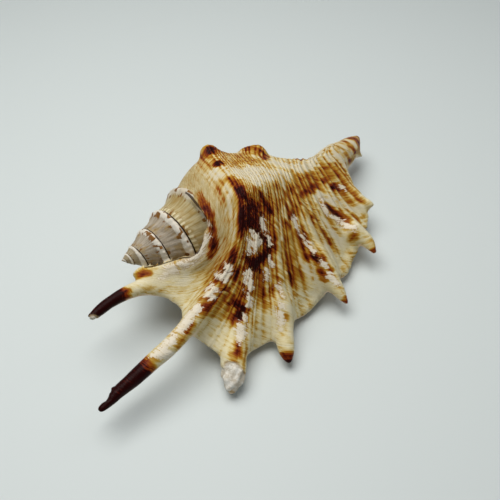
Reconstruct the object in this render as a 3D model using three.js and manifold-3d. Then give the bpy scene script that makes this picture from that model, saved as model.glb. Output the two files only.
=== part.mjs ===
// Shell of a spider conch, lying on its aperture side as it rests on a table.
// Millimetres, +Z up. +X runs along the coiling axis from the apex to the canal,
// -Y is the side of the outer lip with its seven digits.
// One closed surface: a lofted body whorl and lip, a coiled spire, seven digits,
// a canal and two shoulder knobs, blended where they meet.
import * as THREE from 'three';
import Module from 'manifold-3d';

// ---- driving dimensions -------------------------------------------------
const ORIGIN = [5.86, -0.17];          // middle of the resting footprint box in the layout frame
const AXIS_Y = 16.0;                  // coiling axis, layout frame
const AXIS_Z = 19.5;
const APEX_X = -36.5;                 // tip of the spire
const SPIRE_HEIGHT = 28.4;            // apex to the last suture
const SPIRE_RADIUS = 14.5;            // radius at the last suture
const WHORL_GROWTH_H = 1.54;          // growth of height in one turn
const SUTURE_HEIGHT = [0, 1.3, 2.9, 5.4, 11.9, 19.2, 29.0, 37.3]; // sutures over the axis, from the apex
const SUTURE_COUNT = [6, 5, 4, 3, 2, 1, 0, -1];
const WHORL_GROWTH_R = 1.40;          // growth of radius in one turn
const LIP_THICKNESS = 3.2;
const EDGE_ROUND = 1.0;               // rounding of the lip edge
const DIGIT_BLEND = 3.2;
const KNOB_BLEND = 3.0;
const CELL = 1.5;                  // spacing of the meshing lattice
const FACETS = 8000;              // triangles kept
const BOX_LO = [-70, -42, -3.03], BOX_HI = [84, 44, 48];

// Body whorl and outer lip: one row for each spiral cord from the suture to the
// canal, each row running from under the far side over the back to the lip edge.
const CORDS = [
  [[-10.35, 24.93, 8.85], [-10.11, 28.89, 14.29], [-9.91, 29.85, 20.71], [-9.81, 27.79, 26.87], [-10.39, 21.77, 31.64], [-11.11, 7.32, 35.5], [-11.86, 1.82, 32.5], [-13.7, 0.37, 29], [-17.22, 0.05, 25], [-21.28, 2.28, 21.3], [-26.82, 6.41, 18.6], [-33.05, 9.14, 17.8]],
  [[-7.26, 26.35, 7.17], [-6.6, 30.93, 13.47], [-6.06, 32.04, 20.9], [-5.76, 29.65, 28.03], [-7.31, 24.53, 33.15], [-9.36, 5.86, 37], [-10.28, 0.51, 34], [-12.71, -2.54, 30], [-16.05, -2.87, 25.5], [-20.19, -0.2, 21], [-26.64, 3, 17.8], [-35.12, 4.77, 17.2]],
  [[-1.46, 28.6, 4.49], [-0.36, 34.17, 12.16], [0.54, 35.53, 21.21], [1.04, 32.62, 29.89], [-1.68, 26.39, 36.12], [-5.46, 7.27, 39], [-6.59, 0.45, 35.5], [-9.46, -3.82, 31], [-13.64, -6.09, 26], [-18.49, -6.43, 20.5], [-23.98, -6.48, 15], [-29.21, -6.35, 10]],
  [[7.49, 29.69, 3.18], [8.59, 35.75, 11.52], [9.49, 37.22, 21.36], [9.99, 34.06, 30.79], [6.63, 27.29, 37.56], [1.19, 5.36, 42.5], [-0.8, -1.53, 39.5], [-4.14, -5.94, 35], [-8.64, -9.3, 29], [-15.46, -11.71, 23.5], [-23.31, -13.03, 20], [-31.82, -15.67, 17]],
  [[10.47, 28.98, 4.03], [11.57, 34.73, 11.93], [12.47, 36.12, 21.26], [12.97, 33.13, 30.2], [9.61, 26.7, 36.63], [4.17, 5.35, 42.3], [1.89, -1.38, 38], [-1.66, -6.66, 32.5], [-6.15, -11.65, 26], [-12.19, -15.61, 19.5], [-20.12, -17.35, 13], [-28.37, -18.44, 7.5]],
  [[12.97, 27.96, 5.25], [14.07, 33.25, 12.53], [14.97, 34.53, 21.12], [15.47, 31.77, 29.36], [12.08, 25.86, 35.27], [6.57, 4.43, 41.8], [4.06, -1.53, 37], [0.45, -6.87, 31.5], [-3.4, -11.46, 26], [-8.66, -16.48, 19], [-14.89, -21.82, 12], [-21.95, -27.9, 5.5]],
  [[16.56, 27.18, 6.17], [17.66, 32.13, 12.98], [18.56, 33.33, 21.02], [19.06, 30.76, 28.72], [15.64, 25.22, 34.26], [10.06, 5.05, 40.5], [7.34, -1.22, 35.5], [3.4, -7.03, 30], [-0.21, -12.37, 24], [-4, -18.01, 16.5], [-7.87, -23.19, 10], [-10.76, -26.99, 2]],
  [[20.86, 26.28, 7.24], [21.96, 30.83, 13.51], [22.86, 31.94, 20.89], [23.36, 29.57, 27.98], [19.94, 24.48, 33.07], [14.36, 6.15, 38.5], [11.67, -0.64, 33.7], [8.27, -6.77, 28], [5.09, -12.61, 22], [2.14, -18.09, 16.5], [-0.03, -23.56, 11.5], [-2.47, -28.79, 7.5]],
  [[25.67, 24.68, 9.16], [26.77, 28.52, 14.44], [27.67, 29.45, 20.68], [28.17, 27.45, 26.65], [24.42, 21.03, 31.6], [19.37, 7.52, 36], [17.22, 0.34, 31], [14.49, -6.54, 25.3], [12.47, -12.52, 18.5], [10.96, -17.16, 13], [9.93, -20.63, 7.5], [9.49, -22.83, 1.5]],
  [[30.67, 22.78, 11.38], [31.77, 25.81, 15.37], [32.67, 26.57, 20.12], [33.17, 25.03, 24.72], [29.17, 17.38, 29.91], [25.17, 9.73, 33], [23.37, 1.89, 28.5], [21.96, -4.25, 24], [21.15, -9.59, 19.5], [20.95, -14.04, 15.8], [21.55, -17.95, 12.6], [22.11, -21.96, 9]],
  [[35.94, 21.51, 12.56], [37.04, 23.88, 15.65], [37.94, 24.49, 19.34], [38.44, 23.29, 22.92], [34.94, 17.82, 27.28], [31.44, 12.34, 30], [30.77, 4.81, 25.8], [30.49, -1.02, 21.6], [31.13, -5.16, 17], [32.13, -8.34, 12.3], [32.76, -12.09, 7.2], [33.78, -15.58, 1]],
  [[42.24, 20.72, 13.32], [43.34, 22.66, 15.51], [44.24, 23.24, 18.17], [44.74, 22.43, 20.78], [41.49, 18.91, 24.5], [38.24, 15.39, 27], [38.24, 8.05, 23], [38.13, 2.38, 19.3], [38.73, -1.77, 16], [39.94, -5.05, 13.6], [40.91, -7.95, 12], [42.13, -10.54, 10.5]],
  [[48.47, 21.39, 12.74], [49.57, 23.13, 14.66], [50.47, 23.75, 16.95], [50.97, 23.14, 19.22], [47.97, 20.89, 22.15], [44.97, 18.64, 24], [45.57, 11.99, 20.4], [46.49, 7.53, 17], [47.48, 3.77, 14], [48.5, 0.09, 11.4], [50.08, -2.97, 8.5], [52.11, -5.62, 5]],
  [[54.7, 23.43, 11.29], [55.71, 25.35, 13.15], [56.53, 26.03, 15.44], [56.99, 25.4, 17.71], [54.24, 23.42, 20.15], [51.49, 21.45, 21.5], [52.35, 15.59, 18], [52.99, 11.35, 15.4], [53.17, 7.82, 13.5], [53.45, 5.09, 12.2], [53.96, 3, 11.3], [54.56, 1.04, 10.5]],
  [[60.52, 25.8, 9.99], [61.34, 27.69, 11.82], [62.02, 28.39, 14.05], [62.39, 27.81, 16.26], [60.14, 26.14, 18.15], [57.89, 24.48, 19], [58.73, 20.78, 16.3], [59.1, 18.23, 14], [59.33, 16.73, 12], [59.37, 15.75, 10.2], [59.43, 15.31, 8], [59.61, 15.16, 5.5]],
];

// Tapering limbs: x, y, z, radius.
const LIMBS = [
  [[-25.97, 4.79, 13.8, 2.6], [-31.7, 4.71, 15.8, 2.7], [-36.1, 4.99, 16.9, 2.5], [-40.05, 4.7, 17.8, 2.25], [-43.7, 4.28, 18.2, 2.05], [-47.49, 3.56, 18.3, 1.85], [-50.98, 2.76, 18.1, 1.75], [-53.72, 2.06, 17.8, 1.45]], // digit 1
  [[-23.31, -13.37, 17, 2.4], [-31.47, -16.05, 15.2, 2.8], [-38.89, -18.5, 14.4, 2.85], [-45.5, -19.77, 13.3, 2.6], [-51.5, -21.06, 12.2, 2.4], [-57.22, -21.92, 11.2, 2.05], [-61.21, -23.06, 10.6, 1.6], [-64.61, -24.01, 10.2, 1.1]], // digit 2
  [[-11.76, -17.64, 8.5, 3.4], [-16.69, -22.75, 7.2, 3.7], [-21.55, -27.31, 6.6, 4], [-23.69, -30.33, 5.5, 3.9], [-25.37, -32.66, 4.6, 3.6], [-26.66, -34.28, 3.9, 2.9]], // digit 3
  [[-0.5, -21.5, 10, 3.6], [-2.6, -27, 6.9, 3.1], [-5.15, -31.83, 5, 2.8], [-6.48, -34.48, 4, 2.1], [-7.2, -36.47, 3.4, 1]], // digit 4
  [[20.5, -13.5, 13, 3.8], [21.3, -19.5, 9.6, 3], [21.5, -24.5, 7.2, 2.3], [21.6, -28.6, 5.2, 1]], // digit 5
  [[40.98, -8.58, 11, 3.2], [42.53, -12.11, 9.6, 2.6], [43.08, -14.9, 8.4, 2], [42.75, -17.61, 7.4, 1]], // digit 6
  [[52.06, 6.01, 10.5, 1.8], [53.3, 2.35, 10.4, 1.6], [54.73, 0.09, 10.4, 1.4], [55.57, -1.19, 10.2, 0.8]], // digit 7
  [[44.72, 19.76, 14.6, 5.2], [51.38, 22.19, 13.4, 5.9], [58.11, 24.52, 12.3, 6], [65.08, 27.24, 11.2, 5.2], [71.02, 30.09, 10.2, 3.8], [76.1, 32.83, 9.2, 1.7]], // canal
  [[-33.8, 9.45, 17.6, 0.9], [-32.07, 9.25, 17.9, 1.1], [-30.87, 7.09, 18.1, 1], [-29.14, 6.21, 18.5, 1.1], [-25.11, 4.8, 19.3, 1.1], [-21.89, 2.48, 21.3, 1.1], [-19.24, 0.54, 23.2, 1.1], [-17.23, -0.6, 25.3, 1], [-14.46, -0.28, 28.2, 0.9], [-12.54, 1.43, 31, 0.8]], // wall beside the suture
  [[-32.18, 10.58, 17, 1.1], [-29.85, 9.03, 17.6, 1.5], [-27.17, 7.12, 18.5, 1.5], [-23.67, 5.31, 19.8, 1.4], [-20.31, 3.2, 22, 1.1]], // seat of the spire on the lip
  [[5.74, -22.28, 2.2, 0.8], [8.29, -22.14, 2.4, 1.1], [10.46, -21.99, 2.6, 1.2], [14.99, -20.69, 2.8, 1.2], [18.3, -20.45, 3.4, 0.9]], // fold of the lip between digits 4 and 5
  [[28.7, -17.18, 3, 0.8], [31.48, -16.17, 3.2, 1.1], [34.93, -13.5, 3.6, 1.2], [38.62, -11.34, 4.4, 1.1], [41.29, -10.16, 5.4, 0.8]], // fold of the lip between digits 5 and 6
  [[70.37, 27.5, 8.5, 1.5], [73.45, 25.7, 6.8, 0.5]], // canal spur
];

// Shoulder knobs: x, y, z, radius.
const KNOBS = [
  [6.8, 31.2, 34.7, 2.9],
  [24, 26.9, 29.7, 2.9],
  [20.4, 28, 29.9, 2.3],
];

// Aperture trough between the columella and the lip, on into the canal: x, y, z, radius.
const APERTURE = [
  [-25, 5, 6.5, 0.8],
  [-20, 0.5, 3.2, 1.8],
  [-10, -4, 2, 3.2],
  [5, -5.2, 2.2, 3.8],
  [20, -2.5, 2.2, 3.8],
  [34, 3.5, 2, 3.4],
  [48, 11.5, 1.9, 2.9],
  [57, 18, 3, 2.3],
  [58.05, 24.42, 7.2, 1.8],
  [65.38, 27.27, 6.6, 1.4],
  [71.46, 30.25, 6.8, 1],
  [77.13, 33.38, 7.6, 0.5],
];

// ---- curves ---------------------------------------------------------------
function basis(t, mix) {
  const a = t * t, b = a * t, r = 1 - t;
  const c = [(-t + 2 * a - b) / 2, (2 - 5 * a + 3 * b) / 2, (t + 4 * a - 3 * b) / 2, (b - a) / 2];
  const s = [r * r * r / 6, (4 - 6 * a + 3 * b) / 6, (1 + 3 * t + 3 * a - 3 * b) / 6, b / 6];
  return c.map((v, i) => v * (1 - mix) + s[i] * mix);
}
// rows: list of number lists; returns the rows of a smooth curve through them
function spline(rows, n, mix) {
  const m = rows.length, k = rows[0].length, out = [];
  const first = rows[0].map((v, i) => 2 * v - rows[1][i]);
  const last = rows[m - 1].map((v, i) => 2 * v - rows[m - 2][i]);
  const q = [first, ...rows, last];
  for (let i = 0; i < m - 1; i++)
    for (let j = 0; j < n; j++) {
      const w = basis(j / n, mix), p = new Array(k);
      for (let d = 0; d < k; d++) p[d] = w[0] * q[i][d] + w[1] * q[i + 1][d] + w[2] * q[i + 2][d] + w[3] * q[i + 3][d];
      out.push(p);
    }
  out.push(rows[m - 1].slice());
  return out;
}
const smin = (a, b, k) => { const h = Math.max(k - Math.abs(a - b), 0) / k; return Math.min(a, b) - h * h * k * 0.25; };
const smax = (a, b, k) => { const h = Math.max(k - Math.abs(a - b), 0) / k; return Math.max(a, b) + h * h * k * 0.25; };
const dot = (a, b) => a[0] * b[0] + a[1] * b[1] + a[2] * b[2];
const sub = (a, b) => [a[0] - b[0], a[1] - b[1], a[2] - b[2]];
const unit = (a) => { const l = Math.max(Math.hypot(a[0], a[1], a[2]), 1e-9); return [a[0] / l, a[1] / l, a[2] / l]; };
const cross = (a, b) => [a[1] * b[2] - a[2] * b[1], a[2] * b[0] - a[0] * b[2], a[0] * b[1] - a[1] * b[0]];

// ---- nearest sample lookup --------------------------------------------------
function lookup(points, cell) {
  const grid = new Map();
  const key = (i, j, k) => (i + 512) * 1048576 + (j + 512) * 1024 + (k + 512);
  points.forEach((p, n) => {
    const id = key(Math.floor(p[0] / cell), Math.floor(p[1] / cell), Math.floor(p[2] / cell));
    if (!grid.has(id)) grid.set(id, []);
    grid.get(id).push(n);
  });
  return (x, y, z) => {
    const ci = Math.floor(x / cell), cj = Math.floor(y / cell), ck = Math.floor(z / cell);
    let best = Infinity, at = 0;
    for (let r = 0; r < 40; r++) {
      if (r > 0 && best <= ((r - 1) * cell) ** 2) break;
      for (let i = -r; i <= r; i++)
        for (let j = -r; j <= r; j++)
          for (let k = -r; k <= r; k++) {
            if (Math.max(Math.abs(i), Math.abs(j), Math.abs(k)) !== r) continue;
            const list = grid.get(key(ci + i, cj + j, ck + k));
            if (!list) continue;
            for (const n of list) {
              const p = points[n], d = (p[0] - x) ** 2 + (p[1] - y) ** 2 + (p[2] - z) ** 2;
              if (d < best) { best = d; at = n; }
            }
          }
    }
    return at;
  };
}

// ---- lofted body whorl and lip -----------------------------------------------
const NS = 8, NT = 8;
const flatRows = CORDS.map((row) => row.flat());
const alongS = spline(flatRows, NS, 0.6);
const patch = alongS.map((row) => {
  const pts = [];
  for (let i = 0; i < row.length; i += 3) pts.push([row[i], row[i + 1], row[i + 2]]);
  return spline(pts, NT, 0.25);
});
const ns = patch.length, nt = patch[0].length;
const grad = (get, i, n) => {
  const a = Math.max(i - 1, 0), b = Math.min(i + 1, n - 1), p = get(a), q = get(b);
  return sub(q, p).map((v) => v / (b - a));
};
const samples = [], normals = [], lateral = [], inset = [], ds = [], dt = [];
for (let i = 0; i < ns; i++)
  for (let j = 0; j < nt; j++) {
    samples.push(patch[i][j]);
    ds.push(grad((a) => patch[a][j], i, ns));
    dt.push(grad((a) => patch[i][a], j, nt));
    normals.push(unit(cross(dt[dt.length - 1], ds[ds.length - 1])));
  }
if (normals[60 * nt + 45][2] < 0) normals.forEach((n) => { n[0] = -n[0]; n[1] = -n[1]; n[2] = -n[2]; });
const rim = [], rimOut = [];
for (let i = 0; i < ns; i++) { rim.push(patch[i][nt - 1]); rimOut.push(unit(dt[i * nt + nt - 1])); }
for (let j = 0; j < nt; j++) { rim.push(patch[0][j]); rimOut.push(unit(ds[j].map((v) => -v))); }
for (let j = 0; j < nt; j++) { rim.push(patch[ns - 1][j]); rimOut.push(unit(ds[(ns - 1) * nt + j])); }
const nearRim = lookup(rim, 8);
samples.forEach((p, n) => {
  const b = nearRim(...p), l = rimOut[b], m = normals[n], c = dot(l, m);
  lateral.push(unit([l[0] - m[0] * c, l[1] - m[1] * c, l[2] - m[2] * c]));
  inset.push(-Math.hypot(...sub(p, rim[b])));
});
const nearest = lookup(samples, 4);
function loft(x, y, z) {
  const i = nearest(x, y, z), v = sub([x, y, z], samples[i]);
  const up = dot(v, normals[i]), out = inset[i] + dot(v, lateral[i]);
  const a = out + EDGE_ROUND, b = up + EDGE_ROUND;
  const f = Math.hypot(Math.max(a, 0), Math.max(b, 0)) + Math.min(Math.max(a, b), 0) - EDGE_ROUND;
  const thick = LIP_THICKNESS + 1.5 * Math.max(0, x + 23 - 0.1 * Math.max(0, -y));
  return smax(smax(f, -thick - up, 1.5), 0.95 * (x - 60) + 0.30 * (y - 19), 1.5);
}

// ---- spire: a cone of whorls with grooved sutures ------------------------------
// whorl number at a height from the apex, between the sutures' heights
const whorl = (h) => {
  const H = SUTURE_HEIGHT, W = SUTURE_COUNT;
  if (h <= H[0]) return W[0];
  let i = 1;
  while (i < H.length - 1 && h > H[i]) i++;
  return h >= H[i] ? W[i] : W[i - 1] + (W[i] - W[i - 1]) * (h - H[i - 1]) / (H[i] - H[i - 1]);
};
const LOG_H = Math.log(WHORL_GROWTH_H), POWER = Math.log(WHORL_GROWTH_R) / LOG_H;
const bell = (v, w) => Math.exp(-((v / w) ** 2));
function spire(x, y, z) {
  const dy = y - AXIS_Y, dz = z - AXIS_Z, h = x - APEX_X, hh = Math.max(h, 0.05);
  const rho = Math.hypot(dy, dz), turn = Math.atan2(-dy, dz) / (2 * Math.PI);
  const radius = SPIRE_RADIUS * Math.pow(hh / SPIRE_HEIGHT, POWER) * (1 - 0.35 * Math.exp(-hh / 4));
  const q = whorl(h) + turn, v = q - Math.floor(q);
  const bulge = 0.10 * bell(v - 0.18, 0.13) - 0.06 * bell(v, 0.045) - 0.05 * bell(1 - v, 0.045) - 0.045 * bell(v - 0.64, 0.20);
  return Math.max((rho - radius * (1 + bulge)) * 0.85, -h, h - 36);
}

// ---- digits and canal: chains of tapering round links ----------------------------
const limbs = LIMBS.map((c) => spline(c, 3, 0));
function limb(chain, x, y, z) {
  let best = Infinity;
  for (let i = 0; i + 1 < chain.length; i++) {
    const a = chain[i], b = chain[i + 1];
    const ux = b[0] - a[0], uy = b[1] - a[1], uz = b[2] - a[2];
    const px = x - a[0], py = y - a[1], pz = z - a[2];
    const t = Math.min(Math.max((px * ux + py * uy + pz * uz) / (ux * ux + uy * uy + uz * uz), 0), 1);
    const d = Math.hypot(px - t * ux, py - t * uy, pz - t * uz) - (a[3] + (b[3] - a[3]) * t);
    if (d < best) best = d;
  }
  return best;
}

// ---- aperture -----------------------------------------------------------------------
const slot = spline(APERTURE, 3, 0);

// ---- the whole shell: negative inside ---------------------------------------------------
function shell(x, y, z) {
  let f = loft(x, y, z);
  f = smax(f, -0.54 * (x + 11) - 0.84 * z - 0.35 * Math.max(0, -6 - y), 4);
  for (const c of limbs) f = smin(f, limb(c, x, y, z), DIGIT_BLEND);
  for (const [kx, ky, kz, r] of KNOBS) f = smin(f, Math.hypot(x - kx, y - ky, z - kz) - r, KNOB_BLEND);
  f = smax(f, -0.4 + 0.012 * Math.max(0, y - 15) ** 2 - z, 1.6);
  f = smin(f, spire(x, y, z), 0.5);
  return smax(f, -limb(slot, x, y, z), 1.2);
}

// ---- surface of the shell as quads, one corner in each crossed cell -----------------------
function surface() {
  const n = [0, 1, 2].map((d) => Math.ceil((BOX_HI[d] - BOX_LO[d]) / CELL / 4) * 4 + 1);
  const F = new Float32Array(n[0] * n[1] * n[2]).fill(9);
  const at = (i, j, k) => (i * n[1] + j) * n[2] + k;
  const pos = (i, d) => BOX_LO[d] + i * CELL;
  for (let i = 0; i < n[0]; i += 4)
    for (let j = 0; j < n[1]; j += 4)
      for (let k = 0; k < n[2]; k += 4) {
        const mid = shell(pos(i + 1.5, 0), pos(j + 1.5, 1), pos(k + 1.5, 2));
        const near = Math.abs(mid) < CELL * 5.2;
        for (let a = i; a < Math.min(i + 4, n[0]); a++)
          for (let b = j; b < Math.min(j + 4, n[1]); b++)
            for (let c = k; c < Math.min(k + 4, n[2]); c++)
              F[at(a, b, c)] = near ? shell(pos(a, 0), pos(b, 1), pos(c, 2)) : mid > 0 ? 9 : -9;
      }
  // where a cell holds two separate bits of the surface, the smallest value changes side
  const corner = [0, 1, 2, 3, 4, 5, 6, 7].map((c) => [c & 1, (c >> 1) & 1, (c >> 2) & 1]);
  for (let pass = 0, changed = 1; pass < 12 && changed; pass++) {
    changed = 0;
    for (let i = 0; i < n[0] - 1; i++)
      for (let j = 0; j < n[1] - 1; j++)
        for (let k = 0; k < n[2] - 1; k++) {
          const ids = corner.map(([a, b, c]) => at(i + a, j + b, k + c));
          const sign = ids.map((m) => F[m] < 0);
          const inside = sign.filter(Boolean).length;
          if (inside === 0 || inside === 8) continue;
          const group = [0, 1, 2, 3, 4, 5, 6, 7];
          for (let again = true; again;) {
            again = false;
            for (let c = 0; c < 8; c++)
              for (const bit of [1, 2, 4]) {
                const d = c ^ bit;
                if (sign[c] === sign[d] && group[c] !== group[d]) { group[c] = group[d] = Math.min(group[c], group[d]); again = true; }
              }
          }
          const apart = (s) => new Set(group.filter((g, c) => sign[c] === s)).size > 1;
          let pool = null;
          if (apart(true)) pool = ids.filter((m, c) => sign[c]);
          else if (apart(false)) pool = ids.filter((m, c) => !sign[c]);
          else
            for (const ax of [1, 2, 4]) for (const side of [0, ax]) {
              const [b1, b2] = [1, 2, 4].filter((b) => b !== ax);
              const q = [side, side | b1, side | b1 | b2, side | b2];
              if (sign[q[0]] === sign[q[2]] && sign[q[1]] === sign[q[3]] && sign[q[0]] !== sign[q[1]]) pool = q.map((c) => ids[c]);
            }
          if (!pool) continue;
          const m = pool.reduce((a, b) => (Math.abs(F[b]) < Math.abs(F[a]) ? b : a));
          F[m] = F[m] < 0 ? 0.02 : -0.02;
          changed++;
        }
  }
  const id = new Map(), V = [], Q = [];
  const cell = (i, j, k) => {
    const key = at(i, j, k);
    if (id.has(key)) return id.get(key);
    let s = [0, 0, 0], m = 0;
    for (let e = 0; e < 12; e++) {
      const ax = e >> 2, o1 = (ax + 1) % 3, o2 = (ax + 2) % 3;
      const p = [0, 0, 0]; p[o1] = e & 1; p[o2] = (e >> 1) & 1;
      const q = p.slice(); q[ax] = 1;
      const a = F[at(i + p[0], j + p[1], k + p[2])], b = F[at(i + q[0], j + q[1], k + q[2])];
      if (a < 0 === b < 0) continue;
      const t = a / (a - b);
      for (let d = 0; d < 3; d++) s[d] += p[d] + (q[d] - p[d]) * t;
      m++;
    }
    id.set(key, V.length);
    V.push([0, 1, 2].map((d) => BOX_LO[d] + ([i, j, k][d] + s[d] / m) * CELL));
    return V.length - 1;
  };
  for (let i = 1; i < n[0] - 1; i++)
    for (let j = 1; j < n[1] - 1; j++)
      for (let k = 1; k < n[2] - 1; k++) {
        const here = F[at(i, j, k)] < 0;
        for (let ax = 0; ax < 3; ax++) {
          const step = [0, 0, 0]; step[ax] = 1;
          const there = F[at(i + step[0], j + step[1], k + step[2])] < 0;
          if (here === there) continue;
          const o1 = (ax + 1) % 3, o2 = (ax + 2) % 3;
          const c = [[0, 0], [-1, 0], [-1, -1], [0, -1]].map(([a, b]) => {
            const p = [i, j, k]; p[o1] += a; p[o2] += b; return cell(...p);
          });
          Q.push(here ? c : c.reverse());
        }
      }
  return { V, Q };
}

// moves each corner along the slope onto the surface
function settle(V) {
  const e = 0.05;
  for (let pass = 0; pass < 3; pass++)
    for (const p of V) {
      const f = shell(...p);
      const g = [0, 1, 2].map((d) => { const q = p.slice(); q[d] += e; return (shell(...q) - f) / e; });
      const l = Math.max(dot(g, g), 0.25), s = Math.max(Math.min(f / l, 0.5), -0.5);
      for (let d = 0; d < 3; d++) p[d] -= g[d] * s * 0.9;
    }
}

// ---- fewer facets: shortest loss first, the surface stays closed -----------------------------
function thin(V, T, target) {
  const quad = V.map(() => new Float64Array(10)), fan = V.map(() => new Set());
  const plane = (t) => {
    const n = cross(sub(V[t[1]], V[t[0]]), sub(V[t[2]], V[t[0]]));
    const area = Math.hypot(...n); const u = area > 1e-12 ? n.map((v) => v / area) : [0, 0, 0];
    return { u, area };
  };
  const add = (q, u, d, w) => {
    const [a, b, c] = u;
    [a * a, a * b, a * c, a * d, b * b, b * c, b * d, c * c, c * d, d * d].forEach((v, i) => { q[i] += v * w; });
  };
  T.forEach((t, f) => {
    const { u, area } = plane(t), d = -dot(u, V[t[0]]);
    for (const v of t) { fan[v].add(f); add(quad[v], u, d, area); }
  });
  const cost = (q, p) => {
    const [x, y, z] = p;
    return q[0] * x * x + 2 * q[1] * x * y + 2 * q[2] * x * z + 2 * q[3] * x + q[4] * y * y + 2 * q[5] * y * z + 2 * q[6] * y + q[7] * z * z + 2 * q[8] * z + q[9];
  };
  const version = new Int32Array(V.length), heap = [];
  const swap = (a, b) => { const t = heap[a]; heap[a] = heap[b]; heap[b] = t; };
  const push = (e) => {
    heap.push(e);
    for (let i = heap.length - 1; i > 0;) { const p = (i - 1) >> 1; if (heap[p].c <= heap[i].c) break; swap(i, p); i = p; }
  };
  const pop = () => {
    const top = heap[0], last = heap.pop();
    if (heap.length) {
      heap[0] = last;
      for (let i = 0; ;) {
        let m = i; const l = 2 * i + 1, r = l + 1;
        if (l < heap.length && heap[l].c < heap[m].c) m = l;
        if (r < heap.length && heap[r].c < heap[m].c) m = r;
        if (m === i) break; swap(i, m); i = m;
      }
    }
    return top;
  };
  const best = (a, b) => {
    const q = quad[a].map((v, i) => v + quad[b][i]);
    const mid = V[a].map((v, i) => (v + V[b][i]) / 2);
    const A = [[q[0], q[1], q[2]], [q[1], q[4], q[5]], [q[2], q[5], q[7]]], r = [-q[3], -q[6], -q[8]];
    const det = dot(A[0], cross(A[1], A[2]));
    let p = null;
    const scale = (q[0] + q[4] + q[7]) ** 3;
    if (Math.abs(det) > 1e-5 * scale) {
      const inv = [cross(A[1], A[2]), cross(A[2], A[0]), cross(A[0], A[1])];
      p = [0, 1, 2].map((i) => (inv[0][i] * r[0] + inv[1][i] * r[1] + inv[2][i] * r[2]) / det);
      if (Math.hypot(...sub(p, mid)) > Math.hypot(...sub(V[a], V[b])) * 1.5) p = null;
    }
    if (!p) p = [mid, V[a], V[b]].reduce((m, c) => (cost(q, c) < cost(q, m) - 1e-12 ? c : m), mid);
    const len = Math.hypot(...sub(V[a], V[b]));
    return { p: p.slice(), c: cost(q, p) + 1e-5 * len * len * len };
  };
  const ring = (v) => { const s = new Set(); for (const f of fan[v]) for (const w of T[f]) if (w !== v) s.add(w); return s; };
  const offer = (a, b) => { const { p, c } = best(a, b); push({ a, b, p, c, va: version[a], vb: version[b] }); };
  const seen = new Set();
  T.forEach((t) => { for (let i = 0; i < 3; i++) { const a = Math.min(t[i], t[(i + 1) % 3]), b = Math.max(t[i], t[(i + 1) % 3]); const k = a * V.length + b; if (!seen.has(k)) { seen.add(k); offer(a, b); } } });
  let alive = T.length; const dead = new Uint8Array(T.length);
  while (alive > target && heap.length) {
    const { a, b, p, va, vb } = pop();
    if (version[a] !== va || version[b] !== vb) continue;
    const ra = ring(a), rb = ring(b);
    let common = 0; for (const v of ra) if (rb.has(v)) common++;
    if (common !== 2) continue;
    const shared = [...fan[a]].filter((f) => fan[b].has(f));
    if (shared.length !== 2) continue;
    let ok = true;
    for (const v of [a, b])
      for (const f of fan[v]) {
        if (shared.includes(f)) continue;
        const t = T[f], now = t.map((w) => (w === v ? p : V[w]));
        const n0 = cross(sub(V[t[1]], V[t[0]]), sub(V[t[2]], V[t[0]])), n1 = cross(sub(now[1], now[0]), sub(now[2], now[0]));
        const l0 = Math.hypot(...n0), l1 = Math.hypot(...n1);
        const e = Math.max(...[0, 1, 2].map((i) => Math.hypot(...sub(now[i], now[(i + 1) % 3]))));
        if (l1 < 0.06 * e * e || dot(n0, n1) < 0.35 * l0 * l1) { ok = false; break; }
      }
    if (!ok) continue;
    for (const f of shared) { dead[f] = 1; alive--; for (const w of T[f]) fan[w].delete(f); }
    for (const f of fan[b]) { T[f] = T[f].map((w) => (w === b ? a : w)); fan[a].add(f); }
    fan[b].clear();
    quad[b].forEach((v, i) => { quad[a][i] += v; });
    V[a] = p; version[a]++; version[b]++;
    for (const v of ring(a)) offer(Math.min(a, v), Math.max(a, v));
  }
  return T.filter((t, f) => !dead[f]);
}

// ---- build ------------------------------------------------------------------------------------
const { V, Q } = surface();
settle(V);
// keep the one main body
const parent = V.map((v, i) => i);
const find = (a) => { while (parent[a] !== a) { parent[a] = parent[parent[a]]; a = parent[a]; } return a; };
for (const q of Q) for (let i = 1; i < 4; i++) parent[find(q[i])] = find(q[0]);
const size = new Map(); V.forEach((v, i) => size.set(find(i), (size.get(find(i)) || 0) + 1));
const main = [...size.entries()].sort((a, b) => b[1] - a[1])[0][0];
let T = [];
for (const q of Q) {
  if (find(q[0]) !== main) continue;
  const d1 = Math.hypot(...sub(V[q[0]], V[q[2]])), d2 = Math.hypot(...sub(V[q[1]], V[q[3]]));
  if (d1 < d2) T.push([q[0], q[1], q[2]], [q[0], q[2], q[3]]);
  else T.push([q[1], q[2], q[3]], [q[1], q[3], q[0]]);
}
T = thin(V, T, FACETS);
const used = new Map(), list = [];
for (const t of T) for (const v of t) if (!used.has(v)) { used.set(v, list.length / 3); list.push(V[v][0] - ORIGIN[0], V[v][1] - ORIGIN[1], V[v][2]); }

const wasm = await Module();
wasm.setup();
const solid = new wasm.Manifold(new wasm.Mesh({
  numProp: 3,
  vertProperties: new Float32Array(list),
  triVerts: new Uint32Array(T.flat().map((v) => used.get(v))),
}));
// the flat worn underside on which the shell rests
const slabShape = new THREE.BoxGeometry(240, 160, 20);
slabShape.deleteAttribute('normal');
slabShape.deleteAttribute('uv');
slabShape.translate(0, 0, -10);
const { mergeVertices } = await import('three/addons/utils/BufferGeometryUtils.js');
const slabMesh = mergeVertices(slabShape);
const slab = new wasm.Manifold(new wasm.Mesh({
  numProp: 3,
  vertProperties: new Float32Array(slabMesh.attributes.position.array),
  triVerts: new Uint32Array(slabMesh.index.array),
}));
const cut = solid.subtract(slab).getMesh();

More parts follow.
